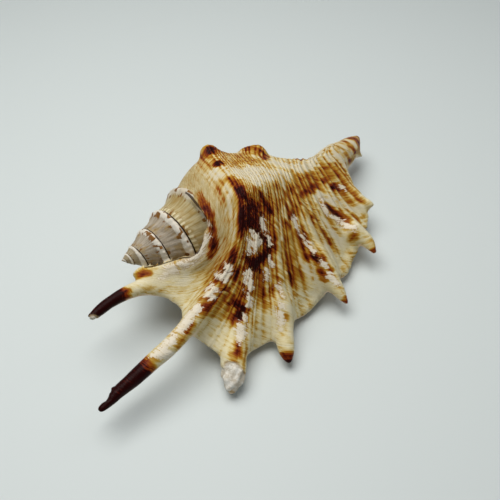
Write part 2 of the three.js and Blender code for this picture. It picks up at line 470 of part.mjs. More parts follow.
const geometry = new THREE.BufferGeometry();
geometry.setAttribute('position', new THREE.BufferAttribute(new Float32Array(cut.vertProperties), 3));
geometry.setIndex(new THREE.BufferAttribute(new Uint32Array(cut.triVerts), 1));
geometry.computeVertexNormals();
const glaze = new THREE.MeshStandardMaterial({ color: 0xd9c29a, roughness: 0.42, metalness: 0.0 });
const shellMesh = new THREE.Mesh(geometry, glaze);
shellMesh.name = 'shell';

const object = new THREE.Group();
object.add(shellMesh);
export default object;
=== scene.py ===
# Spider conch shell lying on its aperture side, with floor, light and camera.
# Working units are millimetres in a layout frame: X from apex to canal, lip -Y, Z up.
# The finished mesh is moved by -ORIGIN and scaled to metres.
import bpy, math
import numpy as np
from mathutils import Matrix, Vector
from mathutils.kdtree import KDTree


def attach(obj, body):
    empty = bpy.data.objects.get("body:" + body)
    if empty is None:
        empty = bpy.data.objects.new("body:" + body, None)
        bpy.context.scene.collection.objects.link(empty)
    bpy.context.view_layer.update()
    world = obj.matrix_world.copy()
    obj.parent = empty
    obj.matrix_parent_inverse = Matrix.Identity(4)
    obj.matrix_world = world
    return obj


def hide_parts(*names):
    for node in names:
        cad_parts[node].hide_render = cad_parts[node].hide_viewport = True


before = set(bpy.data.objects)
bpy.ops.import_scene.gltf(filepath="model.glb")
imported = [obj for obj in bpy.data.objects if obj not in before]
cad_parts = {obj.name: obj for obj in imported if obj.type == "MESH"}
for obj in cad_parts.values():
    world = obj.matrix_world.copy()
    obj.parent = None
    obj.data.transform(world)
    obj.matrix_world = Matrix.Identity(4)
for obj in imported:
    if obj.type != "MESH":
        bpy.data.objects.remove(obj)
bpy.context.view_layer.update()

ORIGIN = (5.857, -0.17)
CELL = 1.04

AY, AZ, APX = 16.0, 19.5, -36.5
H1, R1, GH, GR = 28.4, 14.5, 1.54, 1.40
PW = math.log(GR) / math.log(GH)
NS, NT, MIX, RE = 8, 8, 0.6, 1.0
WHORLS = [[0, 1.3, 2.9, 5.4, 11.9, 19.2, 29.0, 37.3], [6, 5, 4, 3, 2, 1, 0, -1]]   # height from the apex, whorl count

# ---------------------------------------------------------------- control data
G = [
 [[-10.35, 24.93, 8.85], [-10.11, 28.89, 14.29], [-9.91, 29.85, 20.71], [-9.81, 27.79, 26.87], [-10.39, 21.77, 31.64], [-11.11, 7.32, 35.5], [-11.86, 1.82, 32.5], [-13.7, 0.37, 29], [-17.22, 0.05, 25], [-21.28, 2.28, 21.3], [-26.82, 6.41, 18.6], [-33.05, 9.14, 17.8]],
 [[-7.26, 26.35, 7.17], [-6.6, 30.93, 13.47], [-6.06, 32.04, 20.9], [-5.76, 29.65, 28.03], [-7.31, 24.53, 33.15], [-9.36, 5.86, 37], [-10.28, 0.51, 34], [-12.71, -2.54, 30], [-16.05, -2.87, 25.5], [-20.19, -0.2, 21], [-26.64, 3, 17.8], [-35.12, 4.77, 17.2]],
 [[-1.46, 28.6, 4.49], [-0.36, 34.17, 12.16], [0.54, 35.53, 21.21], [1.04, 32.62, 29.89], [-1.68, 26.39, 36.12], [-5.46, 7.27, 39], [-6.59, 0.45, 35.5], [-9.46, -3.82, 31], [-13.64, -6.09, 26], [-18.49, -6.43, 20.5], [-23.98, -6.48, 15], [-29.21, -6.35, 10]],
 [[7.49, 29.69, 3.18], [8.59, 35.75, 11.52], [9.49, 37.22, 21.36], [9.99, 34.06, 30.79], [6.63, 27.29, 37.56], [1.19, 5.36, 42.5], [-0.8, -1.53, 39.5], [-4.14, -5.94, 35], [-8.64, -9.3, 29], [-15.46, -11.71, 23.5], [-23.31, -13.03, 20], [-31.82, -15.67, 17]],
 [[10.47, 28.98, 4.03], [11.57, 34.73, 11.93], [12.47, 36.12, 21.26], [12.97, 33.13, 30.2], [9.61, 26.7, 36.63], [4.17, 5.35, 42.3], [1.89, -1.38, 38], [-1.66, -6.66, 32.5], [-6.15, -11.65, 26], [-12.19, -15.61, 19.5], [-20.12, -17.35, 13], [-28.37, -18.44, 7.5]],
 [[12.97, 27.96, 5.25], [14.07, 33.25, 12.53], [14.97, 34.53, 21.12], [15.47, 31.77, 29.36], [12.08, 25.86, 35.27], [6.57, 4.43, 41.8], [4.06, -1.53, 37], [0.45, -6.87, 31.5], [-3.4, -11.46, 26], [-8.66, -16.48, 19], [-14.89, -21.82, 12], [-21.95, -27.9, 5.5]],
 [[16.56, 27.18, 6.17], [17.66, 32.13, 12.98], [18.56, 33.33, 21.02], [19.06, 30.76, 28.72], [15.64, 25.22, 34.26], [10.06, 5.05, 40.5], [7.34, -1.22, 35.5], [3.4, -7.03, 30], [-0.21, -12.37, 24], [-4, -18.01, 16.5], [-7.87, -23.19, 10], [-10.76, -26.99, 2]],
 [[20.86, 26.28, 7.24], [21.96, 30.83, 13.51], [22.86, 31.94, 20.89], [23.36, 29.57, 27.98], [19.94, 24.48, 33.07], [14.36, 6.15, 38.5], [11.67, -0.64, 33.7], [8.27, -6.77, 28], [5.09, -12.61, 22], [2.14, -18.09, 16.5], [-0.03, -23.56, 11.5], [-2.47, -28.79, 7.5]],
 [[25.67, 24.68, 9.16], [26.77, 28.52, 14.44], [27.67, 29.45, 20.68], [28.17, 27.45, 26.65], [24.42, 21.03, 31.6], [19.37, 7.52, 36], [17.22, 0.34, 31], [14.49, -6.54, 25.3], [12.47, -12.52, 18.5], [10.96, -17.16, 13], [9.93, -20.63, 7.5], [9.49, -22.83, 1.5]],
 [[30.67, 22.78, 11.38], [31.77, 25.81, 15.37], [32.67, 26.57, 20.12], [33.17, 25.03, 24.72], [29.17, 17.38, 29.91], [25.17, 9.73, 33], [23.37, 1.89, 28.5], [21.96, -4.25, 24], [21.15, -9.59, 19.5], [20.95, -14.04, 15.8], [21.55, -17.95, 12.6], [22.11, -21.96, 9]],
 [[35.94, 21.51, 12.56], [37.04, 23.88, 15.65], [37.94, 24.49, 19.34], [38.44, 23.29, 22.92], [34.94, 17.82, 27.28], [31.44, 12.34, 30], [30.77, 4.81, 25.8], [30.49, -1.02, 21.6], [31.13, -5.16, 17], [32.13, -8.34, 12.3], [32.76, -12.09, 7.2], [33.78, -15.58, 1]],
 [[42.24, 20.72, 13.32], [43.34, 22.66, 15.51], [44.24, 23.24, 18.17], [44.74, 22.43, 20.78], [41.49, 18.91, 24.5], [38.24, 15.39, 27], [38.24, 8.05, 23], [38.13, 2.38, 19.3], [38.73, -1.77, 16], [39.94, -5.05, 13.6], [40.91, -7.95, 12], [42.13, -10.54, 10.5]],
 [[48.47, 21.39, 12.74], [49.57, 23.13, 14.66], [50.47, 23.75, 16.95], [50.97, 23.14, 19.22], [47.97, 20.89, 22.15], [44.97, 18.64, 24], [45.57, 11.99, 20.4], [46.49, 7.53, 17], [47.48, 3.77, 14], [48.5, 0.09, 11.4], [50.08, -2.97, 8.5], [52.11, -5.62, 5]],
 [[54.7, 23.43, 11.29], [55.71, 25.35, 13.15], [56.53, 26.03, 15.44], [56.99, 25.4, 17.71], [54.24, 23.42, 20.15], [51.49, 21.45, 21.5], [52.35, 15.59, 18], [52.99, 11.35, 15.4], [53.17, 7.82, 13.5], [53.45, 5.09, 12.2], [53.96, 3, 11.3], [54.56, 1.04, 10.5]],
 [[60.52, 25.8, 9.99], [61.34, 27.69, 11.82], [62.02, 28.39, 14.05], [62.39, 27.81, 16.26], [60.14, 26.14, 18.15], [57.89, 24.48, 19], [58.73, 20.78, 16.3], [59.1, 18.23, 14], [59.33, 16.73, 12], [59.37, 15.75, 10.2], [59.43, 15.31, 8], [59.61, 15.16, 5.5]],
]
CH = {
 'd1': [[-25.97, 4.79, 13.8, 2.6], [-31.7, 4.71, 15.8, 2.7], [-36.1, 4.99, 16.9, 2.5], [-40.05, 4.7, 17.8, 2.25], [-43.7, 4.28, 18.2, 2.05], [-47.49, 3.56, 18.3, 1.85], [-50.98, 2.76, 18.1, 1.75], [-53.72, 2.06, 17.8, 1.45]],
 'd2': [[-23.31, -13.37, 17, 2.4], [-31.47, -16.05, 15.2, 2.8], [-38.89, -18.5, 14.4, 2.85], [-45.5, -19.77, 13.3, 2.6], [-51.5, -21.06, 12.2, 2.4], [-57.22, -21.92, 11.2, 2.05], [-61.21, -23.06, 10.6, 1.6], [-64.61, -24.01, 10.2, 1.1]],
 'd3': [[-11.76, -17.64, 8.5, 3.4], [-16.69, -22.75, 7.2, 3.7], [-21.55, -27.31, 6.6, 4], [-23.69, -30.33, 5.5, 3.9], [-25.37, -32.66, 4.6, 3.6], [-26.66, -34.28, 3.9, 2.9]],
 'd4': [[-0.5, -21.5, 10, 3.6], [-2.6, -27, 6.9, 3.1], [-5.15, -31.83, 5, 2.8], [-6.48, -34.48, 4, 2.1], [-7.2, -36.47, 3.4, 1]],
 'd5': [[20.5, -13.5, 13, 3.8], [21.3, -19.5, 9.6, 3], [21.5, -24.5, 7.2, 2.3], [21.6, -28.6, 5.2, 1]],
 'd6': [[40.98, -8.58, 11, 3.2], [42.53, -12.11, 9.6, 2.6], [43.08, -14.9, 8.4, 2], [42.75, -17.61, 7.4, 1]],
 'd7': [[52.06, 6.01, 10.5, 1.8], [53.3, 2.35, 10.4, 1.6], [54.73, 0.09, 10.4, 1.4], [55.57, -1.19, 10.2, 0.8]],
 'can': [[44.72, 19.76, 14.6, 5.2], [51.38, 22.19, 13.4, 5.9], [58.11, 24.52, 12.3, 6], [65.08, 27.24, 11.2, 5.2], [71.02, 30.09, 10.2, 3.8], [76.1, 32.83, 9.2, 1.7]],
 'wall': [[-33.8, 9.45, 17.6, 0.9], [-32.07, 9.25, 17.9, 1.1], [-30.87, 7.09, 18.1, 1], [-29.14, 6.21, 18.5, 1.1], [-25.11, 4.8, 19.3, 1.1], [-21.89, 2.48, 21.3, 1.1], [-19.24, 0.54, 23.2, 1.1], [-17.23, -0.6, 25.3, 1], [-14.46, -0.28, 28.2, 0.9], [-12.54, 1.43, 31, 0.8]],
 'seat': [[-32.18, 10.58, 17, 1.1], [-29.85, 9.03, 17.6, 1.5], [-27.17, 7.12, 18.5, 1.5], [-23.67, 5.31, 19.8, 1.4], [-20.31, 3.2, 22, 1.1]],
 'lip45': [[5.74, -22.28, 2.2, 0.8], [8.29, -22.14, 2.4, 1.1], [10.46, -21.99, 2.6, 1.2], [14.99, -20.69, 2.8, 1.2], [18.3, -20.45, 3.4, 0.9]],
 'lip56': [[28.7, -17.18, 3, 0.8], [31.48, -16.17, 3.2, 1.1], [34.93, -13.5, 3.6, 1.2], [38.62, -11.34, 4.4, 1.1], [41.29, -10.16, 5.4, 0.8]],
 'spur': [[70.37, 27.5, 8.5, 1.5], [73.45, 25.7, 6.8, 0.5]],
}
KN = [[6.8, 31.2, 34.7, 2.9, 3], [24, 26.9, 29.7, 2.9, 3], [20.4, 28, 29.9, 2.3, 3]]
AP = [[-25, 5, 6.5, 0.8], [-20, 0.5, 3.2, 1.8], [-10, -4, 2, 3.2], [5, -5.2, 2.2, 3.8], [20, -2.5, 2.2, 3.8], [34, 3.5, 2, 3.4], [48, 11.5, 1.9, 2.9], [57, 18, 3, 2.3], [58.05, 24.42, 7.2, 1.8], [65.38, 27.27, 6.6, 1.4], [71.46, 30.25, 6.8, 1], [77.13, 33.38, 7.6, 0.5]]

# traced colour marks: class, centre line with half widths, all mm.
# D dark maroon, B red-brown, W white, O ochre, P pale, C painted shade along the gap between spire and lip wall
MARKS = [
 ('O', [[2.2, 27.8, 36, 1.34], [4.9, 30.2, 37, 1.68], [8.2, 30.4, 37.1, 1.69], [10.7, 28.6, 35.9, 1.36]]),
 ('B', [[5.6, 30, 37.3, 0.74], [7.5, 29.9, 37.3, 0.61]]),
 ('D', [[5.8, 29.4, 37.3, 0.34], [6.9, 29.6, 37.4, 0.27]]),
 ('B', [[8.6, 30, 37, 0.54], [8.3, 28.4, 36.9, 0.47]]),
 ('D', [[3.5, 20, 39.2, 0.69]]),
 ('B', [[3.4, 20.2, 39.1, 1.18], [4.8, 18, 39.8, 0.52]]),
 ('O', [[-9.1, 10.6, 36.2, 0.63], [-9.4, 7.7, 36.5, 0.63]]),
 ('B', [[-8.9, 9, 36.5, 0.41], [-9.8, 5.9, 36.3, 0.59], [-10.4, 2.6, 35, 0.59], [-10.7, 1.1, 33.8, 0.47]]),
 ('D', [[-10.6, 1.7, 34.1, 0.43], [-11.1, 0.1, 33, 0.74], [-12, -0.6, 31.9, 0.56]]),
 ('D', [[-12.1, -1.6, 31.1, 0.62], [-12.6, -2.7, 29.7, 0.84], [-13.9, -3.4, 27.8, 0.68]]),
 ('B', [[-9.9, 5.6, 36.2, 0.75], [-10.9, 0.7, 33.4, 0.99], [-12.8, -2.6, 29.7, 1.12]]),
 ('W', [[-11, 2.2, 33.9, 0.5]]),
 ('P', [[-13.3, 0.2, 31.5, 0.74], [-15, -0.8, 29.3, 1.06], [-17.1, -1.2, 27, 1.18], [-19.5, 0.7, 23.1, 1.32], [-22.8, 1.5, 22, 1.32], [-26.3, 3.2, 19.8, 1.33], [-30.3, 4.1, 19, 1.14]]),
 ('W', [[-12.8, 0.7, 32.2, 0.5], [-14.2, -0.3, 30.3, 0.71], [-15.9, -1, 28.3, 0.87], [-17.8, -1, 26.3, 0.94], [-19.5, 0.7, 23.1, 0.88], [-21.7, 0.7, 22.9, 0.88]]),
 ('W', [[-24.1, 2, 20.7, 0.76], [-26.4, 3.2, 19.6, 0.7], [-28.6, 3.8, 19.2, 0.51]]),
 ('B', [[-26.7, 4.9, 20.8, 0.32]]),
 ('B', [[-23.5, 2.4, 22, 0.47], [-23.5, 1.5, 20.6, 0.63]]),
 ('B', [[-15, -3.1, 26.9, 0.5], [-14.9, -3.9, 26.2, 0.44]]),
 ('B', [[-35.2, 8.5, 18.1, 0.83], [-33.1, 7.4, 19.2, 1.01], [-30.8, 6.3, 19.9, 0.76]]),
 ('D', [[-33.7, 7.7, 19, 0.51], [-31.6, 6.8, 19.8, 0.51]]),
 ('O', [[0.9, 10.7, 40.9, 0.95], [1.3, 5.5, 41.9, 1.25], [1.7, 1.6, 41.3, 1.24]]),
 ('B', [[1.2, 9.5, 41.2, 0.63], [1.3, 6.1, 41.9, 0.87], [1.4, 2.8, 41.8, 0.99], [1.2, 0.9, 40.8, 0.93]]),
 ('D', [[0.7, 2.9, 41.7, 0.5], [0.4, 0.9, 40.8, 0.62]]),
 ('D', [[1.3, -0.1, 39.8, 1.05], [2.5, -0.5, 38.7, 1.87], [1.8, -2.1, 37.3, 2.61], [0.7, -3.7, 35.7, 2.92], [0.4, -5.3, 33.7, 2.67], [1.9, -6.9, 30.7, 1.63]]),
 ('D', [[2.9, -2.1, 36.7, 1.87], [2, -4.6, 34, 1.87]]),
 ('D', [[-0.3, -0.7, 39.5, 0.62], [-2, -3.3, 37.3, 0.62], [-3, -5.9, 34.3, 0.74]]),
 ('B', [[-0.1, 0.9, 40.7, 0.62], [-2.6, -2.9, 37.3, 0.62], [-5.1, -6.9, 32.9, 0.62]]),
 ('O', [[-1.2, 0.7, 40.1, 1.23], [-4.3, -2.9, 36.1, 1.54], [-6.9, -6.7, 31.9, 1.54]]),
 ('O', [[6.4, -1.4, 35.7, 1.26], [5.9, -5.6, 30.6, 1.27], [5.4, -9.8, 25.3, 1.59]]),
 ('W', [[-0.7, -6.9, 31.8, 0.56], [-0.7, -7.5, 30.9, 0.87], [-0.2, -8.4, 29.6, 0.75]]),
 ('W', [[-3.3, -8.6, 30.2, 0.81], [-1.4, -9, 29.1, 1], [0.7, -8.8, 28.6, 0.56]]),
 ('W', [[-4.3, -9.5, 28.9, 0.62], [-3.1, -10, 28.2, 0.87], [-1.9, -9.8, 28.1, 0.69]]),
 ('W', [[-3.4, -8.2, 30.8, 0.56], [-4.4, -9.7, 28.7, 0.56]]),
 ('W', [[-4.7, -9.6, 28.8, 0.56], [-4.2, -10.4, 27.7, 0.56]]),
 ('W', [[4.6, -4.4, 32.9, 0.63], [4.2, -5.8, 31.2, 0.82], [4.3, -6.8, 29.7, 0.69]]),
 ('W', [[4.3, -7.9, 28.4, 0.6], [4, -9.3, 26.7, 0.63]]),
 ('D', [[1.1, -6.4, 31.6, 0.94], [2.5, -7.8, 29.4, 1.45], [3.3, -9.5, 26.7, 1.77], [2.3, -11, 25, 1.83], [-0.6, -11.9, 24.7, 2.01], [-3.2, -12.2, 24.7, 1.87]]),
 ('D', [[-5.6, -10.8, 27.1, 1.05], [-4.7, -11.8, 25.7, 2.11], [-5.1, -12.8, 24.1, 1.87], [-2.6, -12.5, 24.2, 1.56]]),
 ('D', [[5.5, -8.8, 26.8, 0.63], [4.6, -10.4, 25, 0.79]]),
 ('D', [[-8, -8.4, 29.7, 0.31], [-9.6, -9.1, 28, 0.68], [-11, -9.7, 26.7, 0.43]]),
 ('B', [[-9, -8.2, 29.1, 0.77], [-11.2, -10.4, 26.1, 0.71], [-13, -11.8, 23.9, 0.4]]),
 ('O', [[-9.3, -4.1, 31.1, 1.24], [-12.2, -6.7, 27, 1.55], [-16.1, -8.1, 22.9, 1.55], [-20.2, -9.2, 19.5, 1.24]]),
 ('O', [[-18.8, -14.4, 18.8, 1.85], [-15.1, -15.5, 18.4, 2.48], [-9.4, -12.4, 15.6, 1.91]]),
 ('O', [[-25.2, -15.9, 18.4, 1.52], [-21.1, -15.7, 17.4, 2.46], [-17.6, -16.9, 15.2, 2.17], [-16.8, -19, 13.4, 1.55]]),
 ('B', [[-19.4, -14.2, 19.1, 0.37], [-16.9, -13.7, 20.3, 0.49], [-16.3, -15, 18.7, 0.31]]),
 ('B', [[-12, -11.3, 16.2, 0.25], [-15.9, -16.1, 17.1, 0.19]]),
 ('W', [[-12.2, -9, 26.1, 0.62], [-12.2, -10.7, 25.2, 0.46]]),
 ('D', [[-13.4, -8.9, 25.2, 0.62], [-13.4, -10.3, 24.6, 0.68]]),
 ('W', [[-15.7, -8.6, 23.1, 0.74], [-14.6, -11, 23.7, 0.8], [-13.7, -10.7, 24.3, 0.49]]),
 ('D', [[-16.1, -10.7, 22.7, 0.56], [-15.5, -12.3, 22.3, 0.86], [-15.2, -13.3, 21.6, 0.46]]),
 ('W', [[-20, -10, 20.1, 0.87], [-18.3, -10.3, 21.2, 0.99], [-18.3, -12.5, 20.9, 0.8], [-21, -12.2, 20.1, 0.92]]),
 ('B', [[-18.6, -10.8, 21.2, 0.46], [-18.2, -12.1, 21.2, 0.46]]),
 ('D', [[-23.4, -12.2, 19.7, 0.31], [-21.8, -13.5, 19.9, 0.43], [-20.8, -13.7, 19.7, 0.31]]),
 ('D', [[-24.6, -15.6, 18.6, 0.43], [-22.9, -15.2, 19, 0.73], [-21.2, -14.5, 19.2, 0.46]]),
 ('W', [[-25.4, -13.4, 19.3, 1.04], [-28.2, -14.5, 18.6, 1.21], [-31.1, -15.8, 18, 1.21], [-34, -17.2, 17.7, 1.2]]),
 ('D', [[-29.9, -17.5, 17.5, 0.54], [-31.8, -18.3, 16.9, 0.69], [-34.1, -19.5, 16.4, 0.72], [-36.4, -20.3, 16, 0.66]]),
 ('W', [[-36.4, -16.3, 17.1, 0.69], [-36.7, -18.6, 17.3, 0.89], [-39.1, -18.7, 17.2, 1.01], [-41.3, -19.5, 16.8, 0.83]]),
 ('O', [[-35.9, -17, 17.4, 0.36]]),
 ('O', [[-40.9, -18.9, 16.8, 0.41], [-39, -20.8, 16, 0.41], [-35.3, -21.1, 13.5, 0.48]]),
 ('W', [[-45, -19.4, 16, 0.68], [-42.9, -20.5, 16.2, 0.88], [-40.5, -21.4, 15.3, 0.83]]),
 ('O', [[-32, -12.5, 17.3, 0.3], [-37.1, -15.2, 16.9, 0.3], [-43, -17.6, 16, 0.36]]),
 ('W', [[-7, -13.5, 23.1, 0.81], [-8.1, -14.6, 21.6, 0.93], [-7.6, -15.9, 19.7, 0.69], [-9.2, -16.7, 18.6, 0.62]]),
 ('D', [[-9.8, -14.8, 21, 0.62], [-10.1, -16.2, 19.2, 0.93], [-11.1, -16.8, 18.1, 0.68]]),
 ('B', [[-5.8, -15, 21, 0.69], [-6.4, -15.7, 20.1, 0.5]]),
 ('B', [[-6.4, -16.4, 18.9, 0.63], [-7.6, -17.7, 17.2, 0.63]]),
 ('D', [[-13.3, -17.5, 16.4, 0.68], [-12.7, -19.1, 15, 1.12], [-14.3, -19.8, 13.9, 0.93]]),
 ('B', [[-13.3, -17.8, 16.2, 1.24], [-15.6, -19.5, 13.5, 1.24], [-17.2, -20.2, 12.5, 0.99]]),
 ('W', [[-9.5, -17.8, 17, 0.56], [-10, -19, 15.6, 0.75]]),
 ('W', [[-13.8, -20.8, 13.2, 0.56], [-14, -21.8, 12.4, 0.5]]),
 ('W', [[-16, -22.4, 11.8, 1.24], [-17.2, -24.1, 11, 1.36], [-18.3, -25.8, 10.7, 1.29]]),
 ('B', [[-18.9, -27.3, 10.2, 0.8], [-19.9, -29, 9.8, 0.98], [-20.9, -30.3, 9.5, 0.73]]),
 ('D', [[-19.8, -26.6, 10.6, 0.31], [-21.1, -29, 10.2, 0.43]]),
 ('B', [[-23.4, -28.6, 10.1, 0.55], [-23.5, -30.4, 9.6, 0.79], [-23.4, -29.6, 10.1, 0.79]]),
 ('O', [[-21.5, -31.8, 8.6, 0.91]]),
 ('W', [[1.6, -12.6, 23.2, 0.57], [2.1, -13.5, 21.8, 0.57]]),
 ('W', [[-0.1, -14.4, 21.1, 0.69], [-1.4, -15.9, 19.1, 0.73]]),
 ('B', [[1.5, -16.2, 18.5, 0.64], [2.7, -17.3, 16.8, 0.64]]),
 ('B', [[-0.4, -17.8, 16.9, 0.57], [-1.5, -18.9, 15.7, 0.57]]),
 ('W', [[0.9, -18.1, 16.3, 0.7], [1.1, -19.7, 14.8, 1.02], [0.9, -21.7, 14, 0.73]]),
 ('W', [[-1.5, -23.4, 13.3, 0.88], [-2.7, -25.6, 11.4, 1.13], [-4.5, -28.2, 9.3, 1.01]]),
 ('B', [[-0.9, -26.2, 11.2, 0.47], [-1.7, -27.5, 10.2, 0.47]]),
 ('B', [[-5.1, -29.1, 8.7, 0.53], [-5.3, -30.2, 8.4, 0.47]]),
 ('B', [[7.3, -14, 19.1, 0.32], [7.6, -16, 16.4, 0.45], [7.6, -18.4, 13.3, 0.45], [6.8, -20.8, 10.2, 0.39]]),
 ('D', [[6.8, -16.5, 16, 0.35], [6.9, -18.3, 13.7, 0.29]]),
 ('B', [[16.1, 0.5, 31.9, 0.52], [16.4, -1.5, 29.7, 0.65], [16.2, -4.1, 27, 0.72]]),
 ('B', [[18.5, 2.2, 32, 0.65], [19.6, -1.1, 28.2, 0.99], [19.4, -3.1, 26.3, 0.79]]),
 ('D', [[13.4, -5.1, 27.4, 0.42], [13.9, -6.2, 25.8, 0.49]]),
 ('O', [[15.7, 3.4, 35.6, 0.97], [16.9, 2.8, 34.1, 0.84]]),
 ('O', [[11.2, -0.1, 34.4, 1.6], [10.6, -5.8, 28.2, 2.25], [10.2, -12.2, 20, 2.26], [10.1, -16.6, 14.4, 1.63]]),
 ('W', [[17.8, -3.6, 26.6, 0.66], [17.2, -5.6, 24.9, 0.92], [16.9, -7.3, 23.2, 0.72], [17.7, -8.5, 21.5, 0.79], [18, -9.3, 20.6, 0.56]]),
 ('D', [[16.3, -7.5, 23.3, 0.52], [16.3, -9.4, 21.1, 0.85], [16.2, -11.2, 19, 1.18], [15.8, -13.7, 16.6, 1.18]]),
 ('D', [[18.8, -6.9, 22.8, 0.53], [18.9, -8.7, 21, 0.56], [18.8, -9.9, 19.7, 0.49]]),
 ('W', [[18.1, -10.3, 19.5, 0.76], [18.7, -11.9, 18.1, 1.12], [18.7, -13.6, 17.3, 0.79]]),
 ('D', [[16.9, -13.9, 16.6, 0.79], [18.6, -14.9, 16.5, 0.99], [20.1, -16.2, 15.8, 0.86]]),
 ('B', [[17.8, -13.8, 16.9, 1.15], [19, -16, 15.8, 0.99]]),
 ('W', [[19.8, -16.7, 15.5, 0.69], [20.6, -17.9, 14.6, 0.86]]),
 ('D', [[18.6, -18.7, 13.1, 0.99], [18.6, -20.2, 11.6, 1.05]]),
 ('D', [[21, -19, 13.6, 0.63], [21.7, -19.9, 12.8, 0.63]]),
 ('W', [[20.3, -21.2, 11.9, 0.92], [21.2, -22.9, 10.9, 1.12], [21.4, -24.3, 10.1, 0.76]]),
 ('O', [[17.2, -17, 13.9, 0.86], [17.4, -19, 11.7, 0.99], [17.7, -20.5, 9.9, 0.66]]),
 ('B', [[14.8, -18.8, 10.7, 0.4]]),
 ('B', [[25.1, -4.1, 22.2, 0.34], [24.8, -5.2, 21.4, 0.4]]),
 ('W', [[33.4, 1.1, 21.3, 0.65], [33.3, -1, 19.7, 0.89], [33.3, -2.1, 18.6, 0.65]]),
 ('D', [[34.8, 0.5, 20, 0.38], [35.2, -0.9, 18.6, 0.59], [36.5, -2.3, 16.7, 0.66], [38.8, -3.6, 14.5, 0.59], [40.3, -5.7, 13.6, 0.45]]),
 ('B', [[42, 0.5, 15.4, 0.71], [43.7, -0.9, 13.7, 0.85]]),
 ('W', [[35.1, -2.9, 16.9, 0.62], [36.1, -4.1, 15.4, 0.9], [38.1, -5.7, 13.6, 0.98], [39.1, -8.3, 13.7, 0.9], [40, -9.9, 13.7, 0.48]]),
 ('D', [[39.4, -10.8, 12.7, 0.62], [38.8, -11.1, 11.4, 0.97], [37.8, -10.7, 10.1, 0.83]]),
 ('B', [[45.9, -2.5, 11.4, 0.61], [46.5, -4.2, 10.4, 0.71], [45, -7.5, 11.9, 0.53]]),
 ('B', [[40.8, 1.4, 16.8, 0.7], [40.3, -2.8, 14.5, 0.84], [41.8, -5, 13, 0.84]]),
 ('O', [[27.7, 5.4, 28.2, 1.35], [32.7, 7.3, 26.2, 1.55], [39, 9.7, 23.3, 1.58], [45.6, 12, 20.3, 1.44]]),
 ('O', [[25, 3, 28.2, 1], [29.6, 4.4, 26.2, 1.19], [35.2, 7.1, 24.2, 1.21], [42, 9.9, 21.7, 1.24], [49.5, 13.2, 18.6, 1.09]]),
 ('B', [[31.3, 4.9, 25.5, 0.75], [35.4, 6.7, 24, 0.83]]),
 ('B', [[39.6, 8.6, 22.5, 0.63], [43.8, 10.3, 20.6, 0.57]]),
 ('B', [[41.6, 6.2, 19.4, 0.57], [45.5, 8.8, 18.5, 0.65]]),
 ('O', [[21.8, 4.5, 31.8, 1.65], [27.2, 5.9, 29, 2.02], [34.8, 9, 25.8, 2.08], [42.9, 12.3, 22.3, 2.14], [51.8, 16.2, 18.8, 1.47]]),
 ('D', [[43.5, 6.8, 18.6, 0.68], [45.8, 7.3, 17.3, 0.68]]),
 ('W', [[47.5, 8.3, 16.9, 0.69], [49, 7, 15.2, 0.94]]),
 ('B', [[51.1, 2.3, 12.3, 0.51], [53.4, 0.4, 11.8, 0.51]]),
 ('O', [[58.2, 25.5, 19.1, 0.38], [64.9, 26.9, 16.7, 0.46]]),
 ('B', [[56.7, 21.8, 19.4, 0.34], [59.5, 20.9, 17.3, 0.45], [62.2, 20.1, 13.7, 0.42]]),
 ('B', [[65, 24.5, 16.3, 0.34], [68.2, 23.7, 13.5, 0.42]]),
 ('O', [[12.6, 21.7, 36.3, 1], [18.3, 26.7, 32.9, 1.55], [21.6, 27.3, 32.8, 1.56], [24.1, 26.6, 32.5, 1.57], [24.8, 23.9, 31.4, 1.39]]),
 ('O', [[6.1, 15.3, 40.2, 0.97], [12.2, 19.8, 36.8, 1.33], [16.6, 20.4, 35.3, 1.35]]),
 ('B', [[23.4, 25.6, 32.5, 0.45], [24.8, 23.9, 31.4, 0.63], [22.2, 19.3, 33.1, 0.68]]),
 ('D', [[24.4, 22.6, 31.3, 0.31], [21.8, 18.4, 33.4, 0.37]]),
 ('O', [[-34.6, 2.8, 18.2, 0.63], [-33.2, 2.3, 17.8, 0.63]]),
 ('B', [[3.3, 29.6, 35.6, 0.54], [4.4, 30, 36.5, 0.67]]),
 ('B', [[19.8, 27.1, 32.8, 0.41], [22.1, 27.3, 32.8, 0.49]]),
 ('P', [[-1.1, 7.6, 40.8, 0.38], [-3.2, 2.7, 39.6, 0.37], [-5.2, -1.9, 35.8, 0.49], [-7.1, -5.9, 32.2, 0.49]]),
 # pale marks on the shoulder crest: partly pale shell, partly painted highlight where light falls on the crest
 ('P', [[5, 11.2, 41.1, 0.96], [5.7, 6.5, 41.5, 0.95], [7.6, 4.3, 40.9, 0.95]]),
 ('P', [[11.3, 5.7, 39.4, 1.6], [17.5, 7.8, 36.7, 2.29], [21.9, 7.6, 33.9, 1.99], [18, 3.8, 34.2, 1.3]]),
 ('P', [[23.1, 16.7, 33, 1.7], [26.2, 13.9, 32.2, 2.38], [30.9, 12.2, 29.9, 2.06], [38.1, 14.6, 26.6, 1.76]]),
 ('P', [[40.8, 16.8, 25.8, 1.42], [54.3, 27.7, 17, 2.27], [62.5, 29.9, 15.9, 3.08], [69, 29.8, 15, 3.11], [73.8, 31.2, 13, 1.97]]),
 ('P', [[33.1, 3.1, 23.1, 1.03], [37.9, 2.1, 19.2, 1.4], [44.2, 0.9, 14.4, 1.42], [50.2, -0.8, 10.2, 1.08]]),
 ('P', [[55.5, 18.4, 17.9, 1.49], [59.6, 18.1, 13.9, 1.88], [58.9, 14.5, 11.8, 1.5]]),
 ('D', [[-40.9, 3.8, 19.9, 0.62], [-43, 3.2, 19.9, 0.93], [-46.2, 3, 19.9, 1.23]]),
 ('B', [[-39.6, 3.1, 19.3, 0.5], [-41.1, 2.7, 17.8, 0.62], [-39.9, 2.6, 16.6, 0.44]]),
 ('B', [[-16.9, -27.6, 8.6, 0.31], [-20.8, -31.7, 7.9, 0.37], [-23.7, -34.9, 6.7, 0.39], [-25.6, -36.8, 4.3, 0.36]]),
